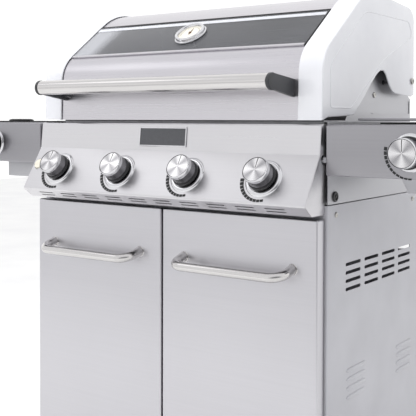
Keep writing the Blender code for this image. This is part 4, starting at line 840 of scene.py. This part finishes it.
def spun_metal_with_painted_highlights(name, light, dark, painted_fan_count, roughness):
    """Metal spun on a lathe: fine rings, and painted highlights, light and dark fans from its centre that
    stand in for its conic reflections, drawn by the turn map.
    """
    made, tree, shader = blank(name)
    turn_map = add(tree, "ShaderNodeUVMap", uv_map="turn").outputs["UV"]
    parts = add(tree, "ShaderNodeSeparateXYZ", {"Vector": turn_map})
    # painted highlight: light and dark fans by angle round the turn, fixed on the piece
    painted_fan = add(tree, "ShaderNodeMath", {0: parts.outputs["X"], 1: 2 * math.pi * painted_fan_count}, operation="MULTIPLY")
    wave = add(tree, "ShaderNodeMath", {0: painted_fan.outputs[0]}, operation="COSINE")
    stretched = add(tree, "ShaderNodeMapping", {"Vector": turn_map, "Scale": (60.0, 900.0, 1.0)})
    rings = add(tree, "ShaderNodeTexNoise", {"Vector": stretched.outputs["Vector"], "Scale": 1.0,
                                             "Detail": 3.0}).outputs["Fac"]
    painted_highlight_level = add(tree, "ShaderNodeMath", {0: wave.outputs[0], 1: 0.30, 2: 0.30}, operation="MULTIPLY_ADD")
    mixed = add(tree, "ShaderNodeMath", {0: rings, 1: 0.4, 2: painted_highlight_level.outputs[0]}, operation="MULTIPLY_ADD")
    tone = add(tree, "ShaderNodeValToRGB", {"Fac": mixed.outputs[0]}, [(0.15, dark), (0.85, light)])
    grooves = add(tree, "ShaderNodeBump", {"Height": rings, "Strength": 0.12, "Distance": 0.0002})
    feed(tree, shader, {"Base Color": tone.outputs["Color"], "Normal": grooves.outputs["Normal"],
                        "Metallic": 1.0, "Roughness": roughness})
    return made


def banded(bands, centre, direction):
    """A spun shape from (radius, height, finish) points: each finish starts at its point."""
    return turned([(r, h) for r, h, _ in bands], centre, direction, 72, marks=[mark for _, _, mark in bands])


# painted highlight: each knob finish has light and dark fans besides its spun rings
knob_side = spun_metal_with_painted_highlights("dark_satin_knob_side", "#98979A", "#5A595C", 3.0, 0.26)
knob_rim = spun_metal_with_painted_highlights("chromed_knob_rim", "#ECECEE", "#CDCDD0", 2.0, 0.10)
knob_face = spun_metal_with_painted_highlights("spun_knob_face", "#F2F1F2", "#A5A4A7", 4.0, 0.22)
knob_places = [((x, *KNOB_AT), SLOPE_UP, SLOPE_OUT, f"knob_{n}", f"burner_knob_{n}") for n, x in
               enumerate(KNOB_X, start=1)]
knob_places += [(SIDE_KNOBS[0], UPRIGHT, FORWARD, "side_knob", "side_burner_knob"),
                (SIDE_KNOBS[1], UPRIGHT, FORWARD, "sear_knob", "sear_burner_knob")]
KNOB_BANDS = [   # 0 is the nylon, 1 the dark side, 2 the rim and 3 the face
    (0.0, 0.0225, 0), (0.0048, 0.0225, 0), (0.0048, 0.0054, 0), (0.0270, 0.0054, 0), (FOOT_R, 0.0064, 0),
    (FOOT_R, 0.0104, 0), (0.0279, 0.0112, 0), (0.0262, 0.0116, 0), (KNOB_R, 0.0122, 1), (0.0260, 0.0276, 2),
    (0.0264, 0.0282, 2), (0.0264, 0.0338, 2), (0.0260, 0.0358, 2), (0.0252, 0.0371, 2), (0.0247, 0.0375, 0),
    (0.0244, 0.0362, 0), (FACE_R + 0.0001, 0.0362, 3), (FACE_R - 0.0004, 0.0368, 3), (0.0160, 0.0370, 3),
    (0.0080, 0.0371, 3), (0.0, 0.0371, 3)]
for place, up, out, body, stands_for in knob_places:
    fit(piece(f"{body}_body", banded(KNOB_BANDS, place, out), black_nylon, knob_side, knob_rim, knob_face),
        body, "chrome", stands_for)
    line = laid(block((-0.0006, 0.0030, 0.0367), (0.0006, FACE_R - 0.0010, 0.0373)), place, up, out)
    fit(piece(f"{body}_index", line, black_nylon), body, "black_nylon")

# ---------------------------------------------------------------- lid
# One curved sheet of stainless with a tinted glass window in its slope, closed by an enamelled steel cap
# at each end. It turns on a bolt through each ear. A tube on two moulded arms is its handle.
LID_X, CAP_X, CAP_PROUD, CAP_WALL = 0.3064, 0.3585, 0.0040, 0.0022
LID_CORNERS = ((-0.1914, 0.9067), (-0.1880, 1.0270), (-0.0056, 1.1650), (0.2300, 1.1480), (0.2300, 0.9624))
LID_RADII = (0.0700, 0.1500, 0.0300)
LEAN, LEAN_OUT = (0, 0.79748, 0.60335), (0, -0.60335, 0.79748)
LEAN_FOOT = (0, *LID_CORNERS[1])
PANE_LOW, PANE_HIGH, PANE_X = 0.0360, 0.1600, 0.3056
THERMO_UP = 0.0960
TUBE_AT, TUBE_R, TUBE_X = (-0.2672, 0.9763), 0.0155, 0.2905
ARM_ROOT = ((-0.1903, 0.9498), (-0.1896, 0.9835))     # where an arm meets the lid, in y and z
ARM_FOOT = ((-0.2060, 0.9580), (-0.1903, 0.9560), (-0.1896, 0.9835), (-0.2060, 0.9840))
CAP_BOTTOM = ((-0.1720, 0.9123), (-0.0790, 0.9157), (-0.0624, 0.9184), (-0.0221, 0.9496), (0.0160, 0.9822),
              (0.0396, 0.9999), (0.0560, 1.0085), (0.0739, 1.0095), (0.0850, 1.0010), (0.1020, 0.9790),
              (0.1180, 0.9668), (0.1322, 0.9635), (0.2188, 0.9594))
CAP_BEAD = ((-0.1636, 0.9700), (-0.1627, 1.0130), (-0.0159, 1.1239), (0.2000, 1.1230), (0.2225, 1.0931),
            (0.0666, 1.0301), (-0.0778, 0.9310), (-0.1646, 0.9305), (-0.1636, 0.9700))
CAP_BEAD_RADII = (0.030, 0.060, 0.018, 0.012, 0.150, 0.020, 0.008)

lid_steel = brushed("brushed_lid_steel", "#D6D4D8", "#CAC8CD", (3.0, 240.0, 240.0), 0.30)
charcoal = moulded("charcoal_moulded_arm", "#36373A", "#2C2D30", 0.38, 500.0)
seal_black = moulded("black_silicone_seal", "#1A1A1C", "#101011", 0.55, 350.0)
# painted reflection: a pale finish for the bright strip reflected along the top of the window
painted_reflection_white = moulded("pale_ceramic_print", "#D6D8DE", "#CBCDD3", 0.30, 150.0)


def enamel():
    """White porcelain enamel on steel: glossy, with a very slight waviness and tone."""
    whites = [(0.3, "#E2E3E8"), (0.7, "#ECEDF1")]
    made, tree, shader, place, _ = clouded("white_porcelain_enamel", 9.0, 3.0, whites, roughness=0.16,
                                           coat_weight=0.4)
    waves = add(tree, "ShaderNodeTexNoise", {"Vector": place, "Scale": 60.0, "Detail": 2.0})
    peel = add(tree, "ShaderNodeBump", {"Height": waves.outputs["Fac"], "Strength": 0.06, "Distance": 0.0006})
    feed(tree, shader, {"Normal": peel.outputs["Normal"]})
    return made


def window_glass():
    """Tempered glass with a grey tint, which lets about half of the light through, and with a painted
    reflection that makes its left end lighter."""
    made, tree, shader = blank("grey_tinted_glass")
    place = add(tree, "ShaderNodeTexCoord").outputs["Object"]
    haze = add(tree, "ShaderNodeTexNoise", {"Vector": place, "Scale": 4.0, "Detail": 2.0}).outputs["Fac"]
    across = add(tree, "ShaderNodeSeparateXYZ", {"Vector": place})
    # painted reflection: the pane's tone rises towards the pale #CBCDD3 stop over its left end
    painted_reflection_left = add(tree, "ShaderNodeMapRange", {"Value": across.outputs["X"], "From Min": -0.30,
                                                "From Max": -0.20, "To Min": 0.75, "To Max": 0.0})
    grey = add(tree, "ShaderNodeMath", {0: haze, 1: painted_reflection_left.outputs["Result"]}, operation="ADD")
    tone = add(tree, "ShaderNodeValToRGB", {"Fac": grey.outputs[0]},
               [(0.3, "#65666A"), (0.7, "#74757A"), (1.0, "#CBCDD3")])
    clear = add(tree, "ShaderNodeMapRange", {"Value": haze, "To Min": 0.50, "To Max": 0.58})
    feed(tree, shader, {"Base Color": tone.outputs["Color"], "Alpha": clear.outputs["Result"],
                        "Roughness": 0.04})
    return made


white_enamel, tinted_glass = enamel(), window_glass()


def lean_block(xs, ups, outs, radius=0.0, segments=3):
    """A block on the lid's slope, between two places across it, up it and out of it."""
    shape = block((xs[0], ups[0], outs[0]), (xs[1], ups[1], outs[1]), radius, segments)
    return laid(shape, LEAN_FOOT, LEAN, LEAN_OUT)


THERMO_AT = (0, LEAN_FOOT[1] + LEAN[1] * THERMO_UP, LEAN_FOOT[2] + LEAN[2] * THERMO_UP)
lid_line = rounded(LID_CORNERS, LID_RADII, 4.0)
hood = piece("lid_sheet", strip(lid_line, -SHEET, "X", -LID_X - 0.008, LID_X + 0.008), lid_steel, crease=20)
hole = piece("hole", lean_block((0.008 - LID_X, LID_X - 0.008), (PANE_LOW + 0.006, PANE_HIGH - 0.006),
                                (-0.02, 0.02)))
fit(carved(hood, hole), "lid", "brushed_steel", "lid_shell")
pane = piece("window_pane", lean_block((-PANE_X, PANE_X), (PANE_LOW, PANE_HIGH), (0.0004, 0.0030), 0.0006),
             tinted_glass)
stem_way = piece("stem_way", rod(0.006, 0.02, THERMO_AT, LEAN_OUT))
fit(carved(pane, stem_way), "lid", "tinted_glass", "lid_window")
seal = merged(
    lean_block((-PANE_X, PANE_X), (PANE_HIGH - 0.0035, PANE_HIGH + 0.0015), (0.0002, 0.0036), 0.0008, 2),
    *(lean_block(sorted((side * PANE_X, side * (PANE_X - 0.003))), (PANE_LOW - 0.001, PANE_HIGH + 0.001),
                 (0.0002, 0.0035), 0.0008, 2) for side in (-1, 1)))
fit(piece("window_seal", seal, seal_black), "lid", "black_nylon")
# painted reflection: a thin pale strip laid on the glass near its top, where the window reflects light
painted_reflection_band = lean_block((-PANE_X + 0.004, PANE_X - 0.004), (0.1400, 0.1510), (0.0028, 0.0032))
fit(piece("window_band", painted_reflection_band, painted_reflection_white), "lid", "white_enamel")
lip = lean_block((-LID_X + 0.004, LID_X - 0.004), (PANE_LOW - 0.0040, PANE_LOW + 0.0022), (-0.0002, 0.0042),
                 0.0014)
fit(piece("window_lip", lip, lid_steel), "lid", "brushed_steel")

for hand, side in (("left", -1), ("right", 1)):
    edge = beside(lid_line, CAP_PROUD)
    outline = edge[:-1] + [(edge[-1][0], 0.9640), *CAP_BOTTOM[::-1], (edge[0][0] + 0.006, edge[0][1])]
    cap = piece(f"{hand}_lid_cap", prism(outline, "X", *sorted((side * LID_X, side * CAP_X)), 0.0030, 4),
                white_enamel)
    inner = beside(lid_line, CAP_PROUD - CAP_WALL)
    back, below = inner[-1][0], 0.88
    open_below = [*inner[:-1], (back, LID_AXIS[1] + 0.002), (back + 0.02, LID_AXIS[1] + 0.002),
                  (back + 0.02, below), (inner[0][0] + 0.0001, below)]
    hollow = piece("hollow", prism(open_below, "X", *sorted((side * (LID_X - 0.01),
                                                             side * (CAP_X - CAP_WALL)))))
    pin_way = piece("pin_way", rod(0.0046, 0.02, (side * CAP_X, *LID_AXIS), (1, 0, 0)))
    fit(carved(cap, pin_way, hollow), "lid", "white_enamel", f"lid_{hand}_cap")
    bead = tube(f"{hand}_cap_bead", [(side * (CAP_X - 0.0005), y, z) for y, z in
                                     rounded(CAP_BEAD, CAP_BEAD_RADII)], 0.0013, white_enamel, 12)
    fit(bead, "lid", "white_enamel")
    x0, x1 = TUBE_X + 0.0003, TUBE_X + 0.0078
    around_tube = [(TUBE_AT[0] + (TUBE_R + 0.0006) * math.cos(math.radians(a)),
                    TUBE_AT[1] + (TUBE_R + 0.0006) * math.sin(math.radians(a))) for a in range(70, 291, 10)]
    arm = prism([*around_tube, *ARM_ROOT], "X", *sorted((side * x0, side * x1)), 0.0014, 3)
    foot = prism(ARM_FOOT, "X", *sorted((side * (TUBE_X - 0.016), side * (TUBE_X + 0.001))), 0.0012, 2)
    fit(piece(f"{hand}_handle_arm", merged(arm, foot), charcoal), "lid", "black_nylon",
        f"{hand}_handle_bracket")

bar = turned([(0.0, -TUBE_X), (TUBE_R - 0.0006, -TUBE_X), (TUBE_R, 0.0006 - TUBE_X),
              (TUBE_R, TUBE_X - 0.0006), (TUBE_R - 0.0006, TUBE_X), (0.0, TUBE_X)],
             (0, *TUBE_AT), (1, 0, 0), 64)
fit(piece("lid_grip_tube", bar, tube_steel), "lid", "brushed_steel", "lid_handle_tube")

# ---------------------------------------------------------------- thermometer
# A chromed case on a flange over the window, with a sunk cream dial, a brown pointer and a probe that
# reaches through the glass. A nut behind the glass clamps it.
cream = moulded("cream_dial_print", "#EFEBDF", "#E3DFD1", 0.35, 250.0)
tick_grey = moulded("grey_dial_print", "#7E7A74", "#6E6A65", 0.5, 400.0)
brown_paint = moulded("brown_pointer_paint", "#6E4A30", "#5A3B26", 0.4, 500.0)

CASE_BANDS = [   # 0 is the chrome and 1 the dial
    (0.0, -0.0600, 0), (0.0022, -0.0600, 0), (0.0025, -0.0590, 0), (0.0025, -0.0120, 0), (0.0045, -0.0100, 0),
    (0.0045, 0.0033, 0), (0.0352, 0.0033, 0), (0.0362, 0.0042, 0), (0.0362, 0.0062, 0), (0.0354, 0.0070, 0),
    (0.0338, 0.0074, 0), (0.0335, 0.0080, 0), (0.0335, 0.0120, 0), (0.0328, 0.0135, 0), (0.0314, 0.0142, 0),
    (0.0292, 0.0142, 0), (0.0275, 0.0134, 0), (0.0262, 0.0110, 0), (0.0262, 0.0090, 1), (0.0150, 0.0090, 1),
    (0.0, 0.0090, 1)]
fit(piece("thermometer_case", banded(CASE_BANDS, THERMO_AT, LEAN_OUT), rim_chrome, cream),
    "lid", "chrome", "thermometer")
tick = block((-0.0016, -0.00025, 0.0090), (0.0016, 0.00025, 0.0092))
fit(marked("thermometer_ticks", tick, tick_grey, 25, 0.0212, 210.0, -10.0, 1.0,
           THERMO_AT, LEAN, LEAN_OUT), "lid", "black_nylon")
pointer = merged(prism([(-0.0009, -0.0065), (0.0009, -0.0065), (0.0012, 0.0), (0.0004, 0.0175),
                        (-0.0004, 0.0175), (-0.0012, 0.0)], "Z", 0.0095, 0.0101, 0.0002, 1),
                 turned([(0.0, 0.0094), (0.0030, 0.0094), (0.0030, 0.0106), (0.0022, 0.0111), (0.0, 0.0111)],
                        (0, 0, 0), (0, 0, 1), 32))
fit(piece("thermometer_pointer", laid(pointer, THERMO_AT, LEAN, LEAN_OUT), brown_paint),
    "needle", "needle_paint", "thermometer_needle")

# ---------------------------------------------------------------- side shelves
# Each shelf is pressed from one sheet, with a deep fascia that carries its burner's knob, and shallower
# sides with a rolled hem. It is screwed to the firebox's skin.
SHELF_IN, SHELF_OUT, SHELF_FRONT, SHELF_BACK = 0.3680, 0.6850, -0.2000, 0.2150
SHELF_TOP, FASCIA_LOW, SHELF_LOW = 0.8990, 0.8065, 0.8600
POT_AT, POT_HOLE = (-0.5600, -0.0850), 0.0850
SEAR_X, SEAR_Y, SEAR_PIN = (0.4200, 0.6400), (-0.1000, 0.1450), (0.1790, 0.9090)
SEAR_MIDDLE, LUG_X, HEM_R = 0.530, (0.440, 0.620), 0.0012
# painted shade: the shelves' stainless is given a darker tone than the doors' steel, for the shade on the
# shelves and the sear cover
shelf_steel_painted_shade = brushed("brushed_shelf_steel", "#A6A5A9", "#9B9A9E", (3.0, 240.0, 240.0), 0.34)

for hand, side in (("left", -1), ("right", 1)):
    xs = sorted((side * SHELF_IN, side * SHELF_OUT))
    shelf = piece(f"{hand}_shelf_sheet", block((xs[0], SHELF_FRONT, FASCIA_LOW),
                                               (xs[1], SHELF_BACK, SHELF_TOP), 0.0032, 4), shelf_steel_painted_shade)
    hollow = piece("hollow", block((xs[0] + SHEET, SHELF_FRONT + SHEET, FASCIA_LOW - 0.01),
                                   (xs[1] - SHEET, SHELF_BACK - SHEET, SHELF_TOP - SHEET)))
    under = piece("under", block((xs[0] - 0.01, SHELF_FRONT + SHEET, FASCIA_LOW - 0.02),
                                 (xs[1] + 0.01, SHELF_BACK + 0.01, SHELF_LOW)))
    knob_at = SIDE_KNOBS[(side + 1) // 2]
    knob_way = piece("knob_way", rod(STEM_WAY_R, 0.02, knob_at, (0, 1, 0)))
    if side < 0:
        opening = rod(POT_HOLE, 0.02, (*POT_AT, SHELF_TOP), UPRIGHT, 96)
    else:
        opening = block((SEAR_X[0], SEAR_Y[0], SHELF_TOP - 0.02), (SEAR_X[1], SEAR_Y[1], SHELF_TOP + 0.01))
    fit(carved(shelf, hollow, under, knob_way, piece("well", opening)), "cart", "brushed_steel",
        f"{hand}_shelf")
    z = SHELF_LOW - 0.0008
    hem_line = [(side * (SHELF_OUT - HEM_R), SHELF_FRONT + 0.004, z),
                (side * (SHELF_OUT - HEM_R), SHELF_BACK - HEM_R, z),
                (side * (SHELF_IN + 0.004), SHELF_BACK - HEM_R, z)]
    fit(tube(f"{hand}_shelf_hem", hem_line, HEM_R, shelf_steel_painted_shade, 12), "cart", "brushed_steel")

igniter = merged(block((-0.5350, -0.1500, 0.7690), (-SHELF_IN - 0.0005, -0.0305, 0.8250), 0.0018, 2),
                 block((-SHELF_IN - SHEET, -0.1500, 0.8200), (-SHELF_IN, -0.0300, 0.8700)))
cover = piece("igniter_cover", igniter, plain_steel)
inside = piece("inside", block((-0.5335, -0.1485, 0.7620), (-SHELF_IN - SHEET - 0.001, -0.0320, 0.8235)))
fit(carved(cover, inside), "cart", "plain_steel")
lugs = merged(*(block((x - 0.006, SEAR_PIN[0] - 0.0062, SHELF_TOP - 0.001),
                      (x + 0.006, SEAR_PIN[0] + 0.0062, SEAR_PIN[1] + 0.005), 0.0012, 2) for x in LUG_X))
pin_way = piece("pin_way", rod(0.0029, 0.13, (SEAR_MIDDLE, *SEAR_PIN), (1, 0, 0)))
fit(carved(piece("sear_cover_lugs", lugs, shelf_steel_painted_shade), pin_way), "cart", "brushed_steel")

# ---------------------------------------------------------------- side burners
# The left burner is a drip bowl with a cast head and a cast trivet over it. The right one is a box with
# a ceramic block and a grate, under a flat cover that turns on a pin through two lugs at its back.
BOWL_LOW, BOWL_RIM = 0.8380, SHELF_TOP + 0.0013
bowl = turned([(0.0, 0.8200), (0.0120, 0.8200), (0.0120, BOWL_LOW), (0.0680, BOWL_LOW),
               (0.0700, BOWL_LOW + 0.0010), (0.0842, SHELF_TOP + 0.0003), (0.0916, SHELF_TOP + 0.0003),
               (0.0920, SHELF_TOP + 0.0008), (0.0916, BOWL_RIM), (0.0836, BOWL_RIM),
               (0.0690, BOWL_LOW + 0.0030), (0.0670, BOWL_LOW + 0.0012), (0.0160, BOWL_LOW + 0.0012),
               (0.0160, 0.8660), (0.0270, 0.8690), (0.0278, 0.8710), (0.0268, 0.8840),
               (0.0250, 0.8858), (0.0, 0.8860)], (*POT_AT, 0), UPRIGHT, 96)
fit(piece("pot_burner_bowl", bowl, plain_steel), "cart", "plain_steel", "pot_burner")
z = SHELF_TOP + 0.0016
crown = turned([(0.0180, z), (0.0180, z + 0.0058), (0.0222, z + 0.0080), (0.0240, z + 0.0080),
                (0.0300, z + 0.0060), (0.0308, z + 0.0050), (0.0308, z)], (*POT_AT, 0), UPRIGHT, 48, True)
arms = []
for number in range(4):
    arm = block((0.0290, -0.0025, z), (0.0900, 0.0025, z + 0.0030), 0.0010, 2)
    arm.transform(Matrix.Translation((*POT_AT, 0)) @ Matrix.Rotation(math.radians(90 * number), 4, "Z"))
    arms.append(arm)
fit(piece("pot_trivet", merged(crown, *arms), iron), "cart", "cast_iron", "pot_support")
nodes["sear_burner"].material_slots[0].material = plain_steel
nodes["sear_grate"].material_slots[0].material = iron

COVER_LOW, COVER_HIGH = (0.3975, -0.1300, 0.9062), (0.6625, 0.1700, 0.9112)
cover = piece("sear_cover_sheet", block(COVER_LOW, COVER_HIGH, 0.0018, 4), shelf_steel_painted_shade)
hollow = piece("hollow", block((COVER_LOW[0] + SHEET, COVER_LOW[1] + SHEET, COVER_LOW[2] - 0.01),
                               tuple(far - SHEET for far in COVER_HIGH)))
fit(carved(cover, hollow), "sear_cover", "brushed_steel", "sear_lid")
leaves = [block((x - 0.010, COVER_HIGH[1] - 0.0008, SEAR_PIN[1] - 0.001),
                (x + 0.010, SEAR_PIN[0], SEAR_PIN[1] + 0.001), 0.0003, 1)
          for x in (0.420, SEAR_MIDDLE, 0.640)]
hinge = merged(rod(0.0025, 0.120, (SEAR_MIDDLE, *SEAR_PIN), (1, 0, 0)), *leaves)
fit(piece("sear_cover_pin", hinge, zinc), "sear_cover", "chrome")

# ---------------------------------------------------------------- casters
# Four swivel casters: a zinc-plated fork with a ball race, a rubber tyre on a nylon hub and a bolt as the
# axle. The two at the front have a foot brake.
rubber = moulded("black_rubber_tyre", "#262627", "#1A1A1B", 0.7, 260.0)
hub_grey = moulded("grey_nylon_hub", "#8A8A8D", "#7B7B7E", 0.4, 500.0)
WHEEL_R, TRAIL, RACE_TOP = 0.034, 0.020, 0.0927
CASTER_X, CASTER_Y = (-0.310, 0.310), (-0.135, 0.205)
TYRE = ((0.0250, -0.0108), (0.0310, -0.0110), (0.0332, -0.0092), (0.0340, -0.0060), (0.0340, -0.0012),
        (0.0334, -0.0004), (0.0334, 0.0004), (0.0340, 0.0012), (0.0340, 0.0060), (0.0332, 0.0092),
        (0.0310, 0.0110), (0.0250, 0.0108))
HUB = ((0.0044, -0.0130), (0.0090, -0.0130), (0.0100, -0.0110), (0.0120, -0.0080), (0.0220, -0.0080),
       (0.0240, -0.0105), (0.0252, -0.0104), (0.0252, 0.0104), (0.0240, 0.0105), (0.0220, 0.0080),
       (0.0120, 0.0080), (0.0100, 0.0110), (0.0090, 0.0130), (0.0044, 0.0130))
for number, (x, y) in enumerate(((x, y) for y in CASTER_Y for x in CASTER_X), start=1):
    axle = (x, y + TRAIL, WHEEL_R)
    race = turned([(0.0, RACE_TOP - 0.009), (0.0190, RACE_TOP - 0.009), (0.0215, RACE_TOP - 0.007),
                   (0.0230, RACE_TOP - 0.0045), (0.0222, RACE_TOP - 0.002), (0.0230, RACE_TOP - 0.0012),
                   (0.0230, RACE_TOP), (0.0, RACE_TOP)], (x, y, 0), (0, 0, 1), 48)
    bridge = block((x - 0.0165, y - 0.018, RACE_TOP - 0.0115), (x + 0.0165, y + 0.034, RACE_TOP - 0.0085),
                   0.0008, 2)
    leg_line = [(y - 0.018, RACE_TOP - 0.009), (y + 0.034, RACE_TOP - 0.009), (y + 0.052, 0.0620),
                (y + 0.050, 0.0560), (axle[1] + 0.009, 0.0280), (axle[1], 0.0240), (axle[1] - 0.009, 0.0280)]
    legs = [prism(leg_line, "X", x + dx, x + dx + 0.0020, 0.0004, 1) for dx in (-0.0165, 0.0145)]
    bolt = turned([(0.0, -0.018), (0.0034, -0.018), (0.0040, -0.0172), (0.0040, 0.0172), (0.0034, 0.018),
                   (0.0, 0.018)], axle, (1, 0, 0), 24)
    fit(piece(f"caster_{number}_fork", merged(race, bridge, bolt, *legs), zinc), f"caster_{number}",
        "chrome", f"caster_fork_{number}")
    tyre = turned(TYRE, axle, (1, 0, 0), 64, True)
    fit(piece(f"wheel_{number}_tyre", tyre, rubber), f"wheel_{number}", "tyre", f"caster_wheel_{number}")
    hub = turned(HUB, axle, (1, 0, 0), 64, True)
    fit(piece(f"wheel_{number}_hub", hub, hub_grey), f"wheel_{number}", "tyre")
for name in ("brake_pedal_1", "brake_pedal_2"):
    nodes[name].material_slots[0].material = black_nylon
